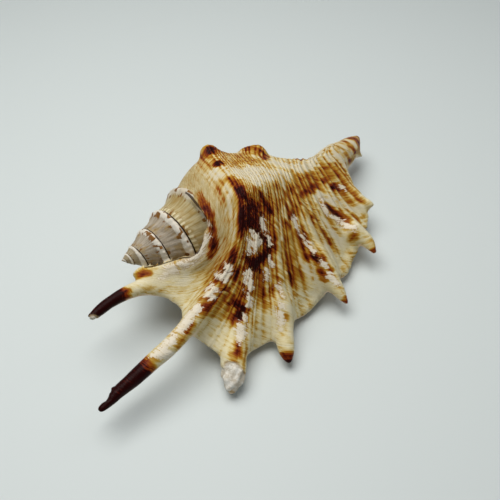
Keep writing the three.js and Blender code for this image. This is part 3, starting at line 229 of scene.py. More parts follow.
 ('B', [[-20.9, -28.7, 10.3, 0.61], [-23.5, -29.8, 9.9, 0.67]]),
 ('W', [[-16.1, -24.2, 10.9, 0.81], [-17.8, -25.6, 10.6, 0.8]]),
 ('B', [[-43.3, -21.1, 15.8, 0.65], [-44.7, -20.7, 15.8, 0.59]]),
 ('P', [[53.7, 25.2, 19, 2.25], [58.4, 24.5, 19.2, 3.01], [63.5, 24.6, 16.9, 3.05], [68.4, 26.7, 15.4, 2.32]]),
 ('P', [[50.8, 18.7, 20.9, 1.83], [58.1, 20.3, 17.9, 2.62], [63.7, 22.2, 15.5, 1.9]]),
 ('P', [[-0, 17.7, 38.9, 0.97], [-0.6, 13.2, 39.9, 1.27], [2.2, 12.8, 40.8, 0.96]]),
 ('P', [[8.8, 11.2, 40.1, 1.29], [14, 12, 38, 1.31], [16, 9, 37.4, 1.3]]),
 ('B', [[67.7, 31.3, 15.1, 0.78], [71.9, 32, 13.8, 1.1], [74.9, 31.9, 13.1, 1.19], [75, 30.6, 11.9, 1.11], [71.7, 26.8, 12.8, 0.7]]),
 ('B', [[69.3, 29.6, 15, 0.86], [71.5, 29.1, 14.1, 1.33], [71.6, 27.3, 13.6, 0.94]]),
 ('D', [[70.5, 30.1, 14.4, 0.47], [72.5, 29.6, 13.6, 0.94], [73.1, 28.4, 12.9, 0.78]]),
 ('B', [[59, 29.4, 18.2, 0.27], [62.7, 27.2, 17, 0.31], [64.2, 22.9, 15.8, 0.34]]),
 ('B', [[54.8, 28.4, 18.3, 0.23], [56.6, 22.9, 19.7, 0.3], [59.6, 19.7, 16.2, 0.3]]),
 ('B', [[62.8, 31, 16.6, 0.23], [66, 28.2, 16.1, 0.31], [68, 24.9, 14.8, 0.35]]),
 ('B', [[21.9, 3.5, 30.7, 1.13], [22.8, 1.6, 28.6, 1.13], [22.6, -0.4, 27, 0.86]]),
 ('P', [[14.2, -2.3, 30.2, 0.65], [8.8, -7.1, 27.1, 0.7], [7.4, -11, 23, 0.64]]),
 ('B', [[-39.6, 3.7, 19.7, 0.62], [-42, 3.2, 19.8, 0.93]]),
 ('B', [[-7.8, 13.9, 36.1, 0.77], [-8.8, 8.6, 36.7, 1], [-9.5, 4.4, 36.5, 1.12], [-9.8, 1.7, 34.9, 0.93]]),
 ('D', [[-9.4, 6.4, 36.6, 0.28], [-9.8, 3.2, 35.9, 0.37]]),
 ('P', [[5, 16, 40.2, 0.97], [6.2, 11.9, 40.8, 1.12], [8, 7.7, 40.8, 1.11], [13.6, 9.1, 38.5, 1.62]]),
 ('B', [[4.4, 29.3, 36.5, 0.47], [3.8, 26.5, 36.9, 0.4]]),
 ('B', [[-34.8, 9.1, 18.6, 0.7], [-33.3, 8.9, 19.3, 0.7], [-31.5, 8.2, 19.8, 0.64], [-28.9, 6.3, 20.5, 0.44]]),
 ('B', [[-21.6, 3.3, 23.3, 0.32], [-24.4, 3.8, 21.8, 0.38], [-26.5, 4.7, 20.9, 0.44]]),
 ('O', [[10.4, -0.2, 34.9, 1.59], [10.5, -3.6, 30.9, 1.92], [10.7, -8, 25.4, 2.25], [11, -12.2, 19.6, 1.95]]),
 ('O', [[5.4, -3, 34.4, 1.26], [7, -6.3, 29.2, 1.59], [7.5, -10.2, 24, 1.6]]),
 ('O', [[-4.2, -13.2, 23.4, 1.25], [-3.8, -16.6, 18.4, 1.57], [-4.4, -19.7, 14.6, 1.58]]),
 ('D', [[0.9, -0.6, 39.2, 0.87], [-0.7, -3.6, 36.8, 0.93], [-1.8, -5.8, 34, 0.8]]),
 ('D', [[5, -1.3, 36.8, 0.75], [4.3, -3.4, 34.4, 0.94], [4, -5, 32.5, 0.69]]),
 ('D', [[18.4, -2.7, 27.3, 0.39], [16.6, -4.1, 26.8, 0.39]]),
 ('P', [[22.6, -5.2, 22.6, 0.5], [24.4, -8.8, 18, 0.6], [27.2, -12.3, 12.6, 1.02], [29, -15, 8, 1.37]]),
 ('P', [[13.1, -14, 16.6, 0.98], [15.8, -17.2, 12.9, 1.32], [17.4, -21, 8.6, 1.66], [15.2, -22, 5.9, 1.33]]),
 ('P', [[29.9, -3.7, 19.3, 0.51], [32.3, -6.7, 14.7, 0.69], [35.2, -10.4, 9.4, 1.04]]),
 ('B', [[29.4, -9.4, 13.7, 0.41], [30.5, -11.8, 10.2, 0.41]]),
 ('O', [[11.6, 20.1, 36.9, 1.33], [13.7, 17.3, 37, 1.66], [17.7, 18.4, 35.3, 1.34]]),
 ('B', [[24.3, 2, 27.9, 0.8], [28.2, 3.7, 26.6, 0.88], [32.6, 4.8, 24.5, 0.76]]),
 ('B', [[8.6, -9.8, 23.9, 0.42], [8.9, -12.4, 20.5, 0.45], [9.2, -14.9, 16.9, 0.39]]),
 ('B', [[2.4, -13.1, 22.2, 0.38], [3.1, -14.9, 19.7, 0.45]]),
 ('B', [[-2.3, -14.3, 21.5, 0.41], [-3.7, -16.5, 18.7, 0.47], [-4.5, -18.8, 15.6, 0.41]]),
 ('O', [[-51.2, 1.4, 19.1, 0.46], [-47.3, 2.2, 19.6, 0.49]]),
 # C: painted shade, a dark line where the lip wall meets the spire
 ('C', [[-9.8, 18.3, 34.4, 0.1], [-9.6, 15.6, 34.7, 0.19], [-10.2, 10, 35.3, 0.25], [-11, 4.3, 35, 0.25], [-10.7, 3.9, 33.2, 0.25]]),
 ('C', [[-10.7, 3.9, 33.2, 0.28], [-11.8, 3.9, 30.5, 0.28], [-14.4, 1, 29.7, 0.28], [-17, -0.3, 27, 0.31], [-19.5, 2.1, 24.2, 0.32], [-23.9, 6.3, 21.6, 0.35], [-28.4, 8.3, 20, 0.35], [-31, 9.6, 19.5, 0.32]]),
 ('B', [[-26.2, 8.7, 19.7, 0.45], [-29.8, 8.6, 19.9, 0.57], [-32.3, 8.9, 19.7, 0.64]]),
 ('P', [[-31.8, 5.2, 19.4, 0.95], [-28.4, 4.7, 20.1, 1.08], [-24.8, 3.2, 21.2, 1.08], [-20.6, 1.3, 23.1, 1.07], [-17.8, -1, 26.3, 0.94]]),
 ('W', [[-21.5, 1.6, 23.5, 0.57], [-24.5, 3.5, 21.7, 0.57], [-26.7, 5.8, 19.6, 0.45]]),
 ('B', [[-23.3, 1.9, 21.9, 0.5], [-23.3, 1.3, 20.6, 0.57]]),
 ('D', [[59.7, 26, 18.2, 0.11], [60.9, 23.2, 17.6, 0.19], [62.1, 20.8, 15.3, 0.23], [63, 20.3, 12.2, 0.15]]),
 ('D', [[65.8, 29.1, 15.9, 0.12], [65.9, 25, 16.1, 0.19], [67.4, 23.4, 13.6, 0.23]]),
 ('B', [[59, 28.7, 17.7, 0.23], [58.2, 23, 18.9, 0.34], [58.9, 19.4, 16.7, 0.37], [58.4, 16.6, 14, 0.34]]),
 ('B', [[53.8, 25.9, 18.5, 0.23], [53, 19.7, 20.1, 0.33], [54.6, 16.6, 17.2, 0.37], [54.1, 13.3, 15.4, 0.33]]),
 ('B', [[34.4, -0, 19.7, 0.55], [36.7, -1.4, 17.3, 0.9], [39.7, -3, 14.5, 0.91], [42.2, -4.6, 13, 0.77]]),
 ('O', [[27.7, 6.7, 29.1, 1.69], [34.2, 8.2, 25.8, 2.07], [41.7, 10.8, 22.1, 2.13], [48.6, 13.9, 19.5, 1.81]]),
 ('D', [[7.6, 0.4, 37.6, 0.38], [7.8, -1.7, 34.7, 0.51], [8.2, -3.3, 32.3, 0.32]]),
 ('B', [[6, 1.4, 40.1, 0.69], [8.2, 0, 36.7, 0.82], [8.8, -2.6, 33.2, 0.7]]),
 ('B', [[7.3, -5.9, 29.6, 0.51], [6.8, -8.4, 26.5, 0.64]]),
 ('D', [[-9, -12, 25.2, 0.37], [-10.4, -13, 23.4, 0.5]]),
 ('B', [[-10.6, -12.1, 24.5, 0.68], [-12.5, -13.9, 21.8, 0.68]]),
 ('O', [[23.7, -2.4, 24.4, 1.33], [24.5, -6.2, 20.5, 1.67], [25.4, -9.8, 16.4, 1.35]]),
 ('B', [[3.8, 29, 36.2, 0.47], [5.6, 28.7, 37, 0.67], [7.7, 27, 37.1, 0.54]]),
 ('B', [[26.9, -2.9, 22.1, 0.34], [27.2, -5.5, 19.4, 0.44], [27.7, -8.5, 15.9, 0.41]]),
 ('B', [[22.5, 26.1, 32.7, 0.55], [24.4, 24.6, 32, 0.69], [25.1, 22.4, 30.9, 0.62]]),
 ('O', [[-3.3, 8.3, 39.6, 0.63], [-5, 2.8, 38.3, 0.74], [-6.3, -1.4, 35.1, 0.74]]),
 ('B', [[0.3, -2.1, 38.1, 0.31], [-1.3, -5.6, 34.1, 0.31]]),
 ('B', [[22.7, 24.6, 32.3, 0.55], [22.1, 20.1, 33, 0.61]]),
]

CAM_POS = [-96.563672, -147.355075, 200.206674]
CAM_BACK = [-0.388448, -0.575898, 0.71934]
CAM_UP = [0.40225, 0.59636, 0.694658]
CAM_RIGHT = [0.829038, -0.559193, 0.0]

# ---------------------------------------------------------------- shape model
def smin(a, b, k):
    h = np.maximum(k - np.abs(a - b), 0.0) / k
    return np.minimum(a, b) - h * h * k * 0.25

def smax(a, b, k):
    h = np.maximum(k - np.abs(a - b), 0.0) / k
    return np.maximum(a, b) + h * h * k * 0.25

def step(a, b, x):
    t = np.clip((x - a) / (b - a), 0, 1)
    return t * t * (3 - 2 * t)

def basis(t, mix):
    t2, t3 = t * t, t * t * t
    c = np.array([(-t + 2 * t2 - t3) / 2, (2 - 5 * t2 + 3 * t3) / 2, (t + 4 * t2 - 3 * t3) / 2, (t3 - t2) / 2])
    b = np.array([(1 - t) ** 3 / 6, (4 - 6 * t2 + 3 * t3) / 6, (1 + 3 * t + 3 * t2 - 3 * t3) / 6, t3 / 6])
    return c * (1 - mix) + b * mix

def spline(P, n, mix=0.0):
    P = np.asarray(P, float)
    Q = np.concatenate([[2 * P[0] - P[1]], P, [2 * P[-1] - P[-2]]])
    out = []
    for i in range(len(P) - 1):
        for k in range(n):
            w = basis(k / n, mix)
            out.append(w[0] * Q[i] + w[1] * Q[i + 1] + w[2] * Q[i + 2] + w[3] * Q[i + 3])
    out.append(P[-1])
    return np.array(out)

def unit(v):
    return v / np.maximum(np.linalg.norm(v, axis=-1, keepdims=True), 1e-9)

def tree(pts):
    kd = KDTree(len(pts))
    for i, p in enumerate(pts.tolist()):
        kd.insert(p, i)
    kd.balance()
    find = kd.find
    return lambda q: np.fromiter((find(p)[1] for p in q.tolist()), np.int64, len(q))

A = spline(np.array(G), NS, MIX)
B = spline(A.transpose(1, 0, 2), NT, 0.25).transpose(1, 0, 2)
dS, dT = np.gradient(B, axis=0), np.gradient(B, axis=1)
NB = unit(np.cross(dT, dS))
if NB[60, 45, 2] < 0:
    NB = -NB
nS, nT = B.shape[:2]
bp = np.vstack([B[:, -1], B[0, :], B[-1, :]])
bl = np.vstack([unit(dT[:, -1]), unit(-dS[0, :]), unit(dS[-1, :])])
PTS, NRM = B.reshape(-1, 3), NB.reshape(-1, 3)
DS, DT = dS.reshape(-1, 3), dT.reshape(-1, 3)
bi = tree(bp)(PTS)
LAT = unit(bl[bi] - NRM * (bl[bi] * NRM).sum(1)[:, None])
OFF = -np.sqrt(((PTS - bp[bi]) ** 2).sum(1))
near = tree(PTS)
CHAINS = {k: spline(c, 3) for k, c in CH.items()}
TROUGH = spline(AP, 3)
ARC = np.concatenate([np.zeros((nS, 1)), np.cumsum(np.linalg.norm(np.diff(B, axis=1), axis=2), axis=1)], axis=1).reshape(-1)

def chain(P, c, reach=None):
    out = np.full(len(P), 99.0)
    lo, hi = c[:, :3].min(0) - 12, c[:, :3].max(0) + 12
    m = ((P > lo) & (P < hi)).all(1) if reach is None else np.ones(len(P), bool)
    q = P[m]
    if not len(q):
        return out
    f = np.full(len(q), 99.0)
    for a, b in zip(c[:-1], c[1:]):
        ab = b[:3] - a[:3]
        t = np.clip(((q - a[:3]) @ ab) / (ab @ ab), 0, 1)
        d = q - a[:3] - t[:, None] * ab
        f = np.minimum(f, np.sqrt((d * d).sum(1)) - (a[3] + (b[3] - a[3]) * t))
    out[m] = f
    return out

def spire_parts(P):
    dy, dz = P[:, 1] - AY, P[:, 2] - AZ
    rho, phi, h = np.hypot(dy, dz), np.arctan2(-dy, dz), P[:, 0] - APX
    hh = np.maximum(h, 0.05)
    q = np.interp(h, WHORLS[0], WHORLS[1]) + phi / (2 * math.pi)
    return rho, phi, h, hh, q

def spire(P):
    rho, phi, h, hh, q = spire_parts(P)
    R = R1 * (hh / H1) ** PW * (1 - 0.35 * np.exp(-hh / 4))
    v = q - np.floor(q)
    prof = 0.10 * np.exp(-((v - 0.18) / 0.13) ** 2) - 0.06 * np.exp(-(v / 0.045) ** 2) \
        - 0.05 * np.exp(-((1 - v) / 0.045) ** 2) - 0.045 * np.exp(-((v - 0.64) / 0.2) ** 2)
    return np.maximum(np.maximum((rho - R * (1 + prof)) * 0.85, -h), h - 36)

def body(P, i):
    v = P - PTS[i]
    dn = (v * NRM[i]).sum(1)
    la = OFF[i] + (v * LAT[i]).sum(1)
    qx, qy = la + RE, dn + RE
    f = np.hypot(np.maximum(qx, 0), np.maximum(qy, 0)) + np.minimum(np.maximum(qx, qy), 0) - RE
    x, y, z = P[:, 0], P[:, 1], P[:, 2]
    th = 3.2 + 1.5 * np.maximum(0, x + 23 - 0.10 * np.maximum(0, -y))
    f = smax(f, -th - dn, 1.5)
    f = smax(f, 0.95 * (x - 60) + 0.30 * (y - 19), 1.5)
    f = smax(f, -0.54 * (x + 11) - 0.84 * z - 0.35 * np.maximum(0, -6 - y), 4.0)
    for c in CHAINS.values():
        f = smin(f, chain(P, c), 3.2)
    for kx, ky, kz, r, k in KN:
        f = smin(f, np.sqrt((x - kx) ** 2 + (y - ky) ** 2 + (z - kz) ** 2) - r, k)
    return smax(f, -0.4 + 0.012 * np.maximum(0, y - 15) ** 2 - z, 1.6)

def field(P, i=None):
    if i is None:
        i = near(P)
    f = smax(smin(body(P, i), spire(P), 0.5), -chain(P, TROUGH), 1.2)
    # the open end of the aperture is clear below the lip
    x, y, z = P[:, 0], P[:, 1], P[:, 2]
    clear = (x > 48.2) & (x < 61) & (y > 9.3) & (y < 19)
    return np.where(clear, np.maximum(f, 4.2 + 0.12 * (x - 48.9) - z), f)

# ---------------------------------------------------------------- meshing
def lattice(lo, hi, h):
    n = np.ceil((hi - lo) / h / 4).astype(int) * 4
    xs = [lo[i] + h * np.arange(n[i]) for i in range(3)]
    cs = [x.reshape(-1, 4).mean(1) for x in xs]
    C = np.stack(np.meshgrid(*cs, indexing='ij'), -1).reshape(-1, 3)
    fc = field(C).reshape([len(c) for c in cs])
    act = np.abs(fc) < 5.1 * h
    up = lambda a: np.repeat(np.repeat(np.repeat(a, 4, 0), 4, 1), 4, 2)
    F, m = up(np.where(fc > 0, 9.0, -9.0)), up(act)
    F[m] = field(lo + h * np.argwhere(m))
    return F

def nets(F, lo, h):
    shp = tuple(k - 1 for k in F.shape)
    acc, cnt, edges = np.zeros(shp + (3,)), np.zeros(shp), []
    for ax in range(3):
        a, b = [slice(None)] * 3, [slice(None)] * 3
        a[ax], b[ax] = slice(0, -1), slice(1, None)
        FA, FB = F[tuple(a)], F[tuple(b)]
        cr = (FA < 0) != (FB < 0)
        idx = np.argwhere(cr)
        va, vb = FA[cr], FB[cr]
        pos = idx.astype(float)
        pos[:, ax] += va / (va - vb)
        o = [i for i in range(3) if i != ax]
        ok = np.ones(len(idx), bool)
        for i in o:
            ok &= (idx[:, i] > 0) & (idx[:, i] < F.shape[i] - 1)
        idx, pos, sg = idx[ok], pos[ok], va[ok] < 0
        cells = []
        for d1 in (0, -1):
            for d2 in (0, -1):
                c = idx.copy()
                c[:, o[0]] += d1
                c[:, o[1]] += d2
                np.add.at(acc, (c[:, 0], c[:, 1], c[:, 2]), pos)
                np.add.at(cnt, (c[:, 0], c[:, 1], c[:, 2]), 1)
                cells.append(c)
        edges.append((ax, cells, sg))
    vm = cnt > 0
    vid = -np.ones(vm.shape, int)
    vid[vm] = np.arange(vm.sum())
    V = acc[vm] / cnt[vm][:, None] * h + lo
    Q = []
    for ax, cells, sg in edges:
        i00, i01, i10, i11 = [vid[c[:, 0], c[:, 1], c[:, 2]] for c in cells]
        q = np.stack([i00, i10, i11, i01], 1)
        flip = sg if ax != 1 else ~sg
        Q.append(np.where(flip[:, None], q, q[:, ::-1]))
    return V, np.vstack(Q)

def pairs(Q):
    return np.vstack([Q[:, [0, 1]], Q[:, [1, 2]], Q[:, [2, 3]], Q[:, [3, 0]]])

def largest(V, Q):
    lab = np.arange(len(V))
    e = pairs(Q)
    while True:
        new = lab.copy()
        np.minimum.at(new, e[:, 0], lab[e[:, 1]])
        np.minimum.at(new, e[:, 1], lab[e[:, 0]])
        new = new[new]
        if (new == lab).all():
            break
        lab = new
    keep = lab == np.bincount(lab).argmax()
    m = -np.ones(len(V), int)
    m[keep] = np.arange(keep.sum())
    return V[keep], m[Q[keep[Q[:, 0]]]]

def project(V, times, fixed=False, e=0.05):
    V = V.copy()
    i = near(V)
    for k in range(times):
        if k and not fixed:
            i = near(V)
        f, g = field(V, i), np.empty_like(V)
        for d in range(3):
            P = V.copy()
            P[:, d] += e
            g[:, d] = (field(P, i) - f) / e
        s = np.clip(f / np.maximum((g * g).sum(1), 0.25), -0.5, 0.5)
        V -= g * (s * 0.9)[:, None]
    return V

def subdivide(V, Q):
    e = np.sort(pairs(Q), axis=1)
    key, inv = np.unique(e[:, 0] * len(V) + e[:, 1], return_inverse=True)
    mid = (V[key // len(V)] + V[key % len(V)]) / 2
    cen = V[Q].mean(1)
    n, nq = len(V), len(Q)
    m = n + inv.reshape(4, nq)
    c = n + len(mid) + np.arange(nq)
    R = [np.stack([Q[:, k], m[k], c, m[(k + 3) % 4]], 1) for k in range(4)]
    return np.vstack([V, mid, cen]), np.vstack(R)

class Ring:
    # neighbours for smoothing
    def __init__(s, n, Q):
        e = pairs(Q)
        s.e = np.vstack([e, e[:, ::-1]])
        s.c = np.maximum(np.bincount(s.e[:, 0], minlength=n), 1)[:, None]
        s.n = n
    def mean(s, X):
        out = np.stack([np.bincount(s.e[:, 0], weights=X[s.e[:, 1], k], minlength=s.n) for k in range(X.shape[1])], 1)
        return out / s.c

def normals(V, Q):
    n = np.cross(V[Q[:, 2]] - V[Q[:, 0]], V[Q[:, 3]] - V[Q[:, 1]])
    out = np.zeros_like(V)
    for k in range(4):
        for d in range(3):
            out[:, d] += np.bincount(Q[:, k], weights=n[:, d], minlength=len(V))
    return unit(out)

LO, HI = np.array([-70.0, -42.0, -3.03]), np.array([84.0, 44.0, 48.0])
V, Q = nets(lattice(LO, HI, CELL), LO, CELL)
V, Q = largest(V, Q)
V = project(V, 3)
V, Q = subdivide(V, Q)
V = project(V, 1)
ring = Ring(len(V), Q)
N = normals(V, Q)
under = step(0.05, -0.35, N[:, 2])
for k in range(10):
    w = 0.5 * (under if k > 1 else np.maximum(under, 0.9))
    V += (ring.mean(V) - V) * w[:, None]
V[:, 2] = np.maximum(V[:, 2], 0.0)
N = normals(V, Q)

# ---------------------------------------------------------------- surface coordinates
near_i = near(V)
d = V - PTS[near_i]
ds, dt = DS[near_i], DT[near_i]
s_c = near_i // nT + np.clip((d * ds).sum(1) / (ds * ds).sum(1), -0.7, 0.7)
t_c = near_i % nT + np.clip((d * dt).sum(1) / (dt * dt).sum(1), -0.7, 0.7)
dtl = np.linalg.norm(dt, axis=1)
arc = ARC[near_i] + (d * dt).sum(1) / dtl
st = np.stack([s_c / NS, t_c / NT, arc], 1)
for k in range(3):
    st += (ring.mean(st) - st) * 0.5
s, t, arc = st.T
# cords: about 3.4 to a row near the shoulder, 2.2 near the canal
sg = np.linspace(0, 14, 141)
dens = 3.4 + (2.2 - 3.4) * step(8.5, 11.5, sg)
cum = np.concatenate([[0], np.cumsum((dens[1:] + dens[:-1]) * 0.05)])
rib = np.interp(s, sg, cum)
rib = rib + 0.20 * np.sin(rib * 1.7) + 0.12 * np.sin(rib * 4.3 + 1)

i = near_i
fb, fs = body(V, i), spire(V)
for c in CHAINS.values():
    pass
sp = step(0.5, -0.1, fs - np.minimum(fb, 3.0)) * step(-5.5, -8.5, V[:, 0])
rho, phi, hx, hh, q = spire_parts(V)
sv = q - np.floor(q)
turn = np.floor(q)
trough = chain(V, TROUGH)
ap = step(1.2, 0.0, trough)
under = step(0.0, -0.35, N[:, 2])
ven = np.maximum(under * (1 - sp), ap)

dig = np.full(len(V), 9.0)
for k, c in CHAINS.items():
    if k not in ('can', 'wall', 'seat', 'lip45', 'lip56'):
        dig = np.minimum(dig, chain(V, c))
digit = step(0.9, 0.2, dig)

# ---------------------------------------------------------------- marks
def away(P, c):
    c = np.asarray(c, float)
    lo, hi = (c[:, :3] - c[:, 3:]).min(0) - 3.2, (c[:, :3] + c[:, 3:]).max(0) + 3.2
    m = ((P > lo) & (P < hi)).all(1)
    out = np.full(len(P), 3.0)
    q = P[m]
    f = np.full(len(q), 3.0)
    segs = list(zip(c[:-1], c[1:])) if len(c) > 1 else [(c[0], c[0] + np.array([0.01, 0, 0, 0]))]
    for a, b in segs:
        ab = b[:3] - a[:3]
        u = np.clip(((q - a[:3]) @ ab) / (ab @ ab), 0, 1)
        dd = q - a[:3] - u[:, None] * ab
        f = np.minimum(f, np.sqrt((dd * dd).sum(1)) - (a[3] + (b[3] - a[3]) * u))
    out[m] = f
    return out

mark = {k: np.full(len(V), 3.0) for k in 'DBWOPC'}
for k, c in MARKS:
    mark[k] = np.minimum(mark[k], away(V, c))
def tip(name, a, b, r):
    c = CHAINS[name]
    n = len(c) - 1
    c = c[int(round(a * n)):int(round(b * n)) + 1].copy()
    c[:, 3] = r
    return c
# dark digit ends, all round
for name, a, r in (('d1', 0.60, 4.0), ('d2', 0.56, 5.0), ('d4', 0.93, 2.2), ('d5', 0.985, 1.0), ('d6', 0.99, 0.7)):
    f = away(V, tip(name, a, 1.0, r))
    mark['D'] = np.minimum(mark['D'], f)
    mark['B'] = np.minimum(mark['B'], f - (0.9 if name in ('d1', 'd2') else 0.5))
mark['B'] = np.minimum(mark['B'], away(V, tip('can', 0.95, 1.0, 1.8)))
# the shoulder's far side, out of the photo's sight: flames across the cords
rng = np.random.RandomState(7)
for k in range(46):
    s0, t0 = rng.uniform(2.2, 12.5), rng.uniform(0.2, 3.3)
    kind = 'DBBWWOPP'[rng.randint(8)]
    n = rng.randint(2, 5)
    c = []
    for j in range(n):
        a = int(np.clip((s0 + rng.uniform(-0.2, 0.2)) * NS, 0, nS - 1))
        b = int(np.clip((t0 + 0.28 * j) * NT, 0, nT - 1))
        c.append(list(B[a, b]) + [rng.uniform(0.5, 1.3)])
    mark[kind] = np.minimum(mark[kind], away(V, c))

# ---------------------------------------------------------------- relief
def wob(P, f, seed):
    # cheap smooth noise, about -1..1
    r = np.random.RandomState(seed)
    out = np.zeros(len(P))
    for k in range(6):
        d = unit(r.normal(size=3))
        out += np.sin(P @ d * f * r.uniform(0.7, 1.5) + r.uniform(0, 6.28))
    return out / 3.2

rib = rib + 0.22 * wob(V, 0.16, 21)
crest = 0.5 + 0.5 * np.cos(2 * math.pi * rib)
amp = 0.04 + 0.26 * step(1.6, 3.0, s) + 0.24 * step(8.0, 10.0, s)
amp *= 1 - 0.70 * step(8.8, 10.8, t) * step(9.0, 7.0, s)
amp *= 1 - 0.8 * digit * step(9.5, 10.8, t)
amp *= 1 - 0.5 * step(6.5, 4.5, t) * step(10.5, 8.5, s)
amp *= (1 - sp) * (1 - ven) * step(-0.2, 0.4, t)
lift = amp * (crest ** 0.8 - 0.6)
ridge = np.exp(-((s - 2 * np.floor(s / 2) - 1) / 0.42) ** 2) * step(0.3, 1.2, s) * step(13.8, 13.0, s)
along = step(5.2, 7.5, t) * step(11.2, 9.8, t)
lift += (0.75 * ridge - 0.25) * along * (1 - sp) * (1 - ven) * (1 - 0.6 * digit)
lift += (1 - sp) * (1 - ven) * 0.10 * wob(V, 0.55, 3)
lift += (1 - sp) * (1 - ven) * step(0.4, -0.4, mark['W']) * 0.12
# spire: axial folds, beads beside the suture
fold = 0.5 + 0.5 * np.cos(phi * (30 + 2 * turn) + 2.5 * sv)
lift += sp * 0.16 * (fold - 0.5) * step(0.02, 0.3, sv) * step(1.0, 0.7, sv) * (0.6 + 0.4 * step(0.5, 1.5, turn))
lift += sp * 0.22 * (0.5 + 0.5 * np.cos(phi * 34)) * np.exp(-((sv - 0.12) / 0.07) ** 2)
lift -= sp * 0.22 * np.exp(-(np.minimum(sv, 1 - sv) / 0.018) ** 2)
# broken end of the third digit and chips at the ends of the first two
def ball(c, r):
    return np.sqrt(((V - np.asarray(c)) ** 2).sum(1)) - r
end3, end1, end2 = CHAINS['d3'][-1, :3], CHAINS['d1'][-1, :3], CHAINS['d2'][-1, :3]
fracture = ball(end3 + np.array([0.4, 1.6, 0.6]), 4.9) + 0.8 * wob(V, 1.3, 5)
chalk = step(0.25, -0.25, fracture)
lift += chalk * (0.42 * wob(V, 2.1, 8) - 0.45)
chip = step(0.3, -0.3, ball(end1 + np.array([-0.3, -1.0, -0.2]), 1.7))
lift += chip * (0.35 * wob(V, 3.0, 9) - 0.3)
NICKS = (([-59.3, -20.5, 11.8], 0.7, 0.5), ([-60.2, -20.9, 11.0], 0.95, -0.9), ([-62.2, -22.2, 11.4], 1.2, -0.55),
         ([-54.9, 2.6, 17.1], 0.8, -0.9))
# ragged upper edge near the end of the second digit, fork at the end of the first
for c, r, k in NICKS:
    lift += k * step(0.45, -0.45, ball(np.array(c), r))
V = V + N * lift[:, None]
V[:, 2] = np.maximum(V[:, 2], 0.0)

# ---------------------------------------------------------------- the piece
W = (V - np.array([ORIGIN[0], ORIGIN[1], 0.0])) * 0.001
mesh = bpy.data.meshes.new('shell_skin')
mesh.from_pydata(W.tolist(), [], Q.tolist())
mesh.update()
mesh.polygons.foreach_set('use_smooth', [True] * len(mesh.polygons))
piece = bpy.data.objects.new('shell_skin', mesh)
bpy.context.scene.collection.objects.link(piece)

def keep(name, *cols):
    a = mesh.attributes.new(name, 'FLOAT_VECTOR', 'POINT')
    a.data.foreach_set('vector', np.stack(cols, 1).astype(np.float32).ravel())

keep('lay', rib, arc, t)
keep('mark_a', mark['D'], mark['B'], mark['W'])
keep('mark_b', mark['O'], sp, ven)
keep('whorl', q, phi, hx)
# first channel: painted shade along the gap between spire and lip wall
keep('gapshade_digit_aperture', step(0.40, 0.0, mark['C']), digit, ap * under)
keep('extra', np.maximum(chalk, chip), mark['P'], s)
print('TRIS', len(Q) * 2, 'BOX', W.min(0), W.max(0))

# ---------------------------------------------------------------- material
mat = bpy.data.materials.new('shell_surface')
mat.use_nodes = True
nt = mat.node_tree
nt.nodes.clear()

def put(sock, v):
    if isinstance(v, bpy.types.NodeSocket):
        nt.links.new(v, sock)
    elif isinstance(v, (tuple, list)) and len(v) == 3 and sock.type == 'RGBA':
        sock.default_value = (*v, 1.0)
    else:
        sock.default_value = v

def m(op, a, b=None, c=None, clamp=False):
    n = nt.nodes.new('ShaderNodeMath')
    n.operation, n.use_clamp = op, clamp
    for k, v in enumerate((a, b, c)):
        if v is not None:
            put(n.inputs[k], v)
    return n.outputs[0]

def add(a, b): return m('ADD', a, b)
def sub(a, b): return m('SUBTRACT', a, b)
def mul(a, b): return m('MULTIPLY', a, b)

def ss(x, a, b):
    n = nt.nodes.new('ShaderNodeMapRange')
    n.interpolation_type = 'SMOOTHSTEP'
    put(n.inputs['Value'], x)
    lo, hi = (a, b) if a < b else (b, a)
    n.inputs['From Min'].default_value, n.inputs['From Max'].default_value = lo, hi
    n.inputs['To Min'].default_value, n.inputs['To Max'].default_value = (0, 1) if a < b else (1, 0)
    return n.outputs['Result']

def mix(f, a, b):
    n = nt.nodes.new('ShaderNodeMix')
    n.data_type = 'RGBA'
    put(n.inputs[0], f)
    put(n.inputs[6], a)
    put(n.inputs[7], b)
    return n.outputs[2]

def attr(name):
    n = nt.nodes.new('ShaderNodeAttribute')
    n.attribute_type, n.attribute_name = 'GEOMETRY', name
    s3 = nt.nodes.new('ShaderNodeSeparateXYZ')
    nt.links.new(n.outputs['Vector'], s3.inputs[0])
    return s3.outputs[0], s3.outputs[1], s3.outputs[2]

def vec(x, y, z):
    n = nt.nodes.new('ShaderNodeCombineXYZ')
    for k, v in enumerate((x, y, z)):
        put(n.inputs[k], v)
    return n.outputs[0]

def noise(v, scale, detail=2.0, rough=0.5):
    n = nt.nodes.new('ShaderNodeTexNoise')
    put(n.inputs['Vector'], v)
    n.inputs['Scale'].default_value, n.inputs['Detail'].default_value, n.inputs['Roughness'].default_value = scale, detail, rough
    return n.outputs[0]

def white(x):
    n = nt.nodes.new('ShaderNodeTexWhiteNoise')
    n.noise_dimensions = '1D'
    put(n.inputs['W'], x)
    return n.outputs[0]

tc = nt.nodes.new('ShaderNodeTexCoord')
sc = nt.nodes.new('ShaderNodeVectorMath')
sc.operation = 'SCALE'
nt.links.new(tc.outputs['Object'], sc.inputs[0])
sc.inputs['Scale'].default_value = 1000.0
pos = sc.outputs[0]

RB, TL, TT = attr('lay')
dD, dB, dW = attr('mark_a')
dO, SP, VN = attr('mark_b')
WQ, PH, HX = attr('whorl')
TU = m('FLOOR', WQ)
SV = sub(WQ, TU)
CK, dP, SS = attr('extra')
GAP_SHADE, DG, AP = attr('gapshade_digit_aperture')

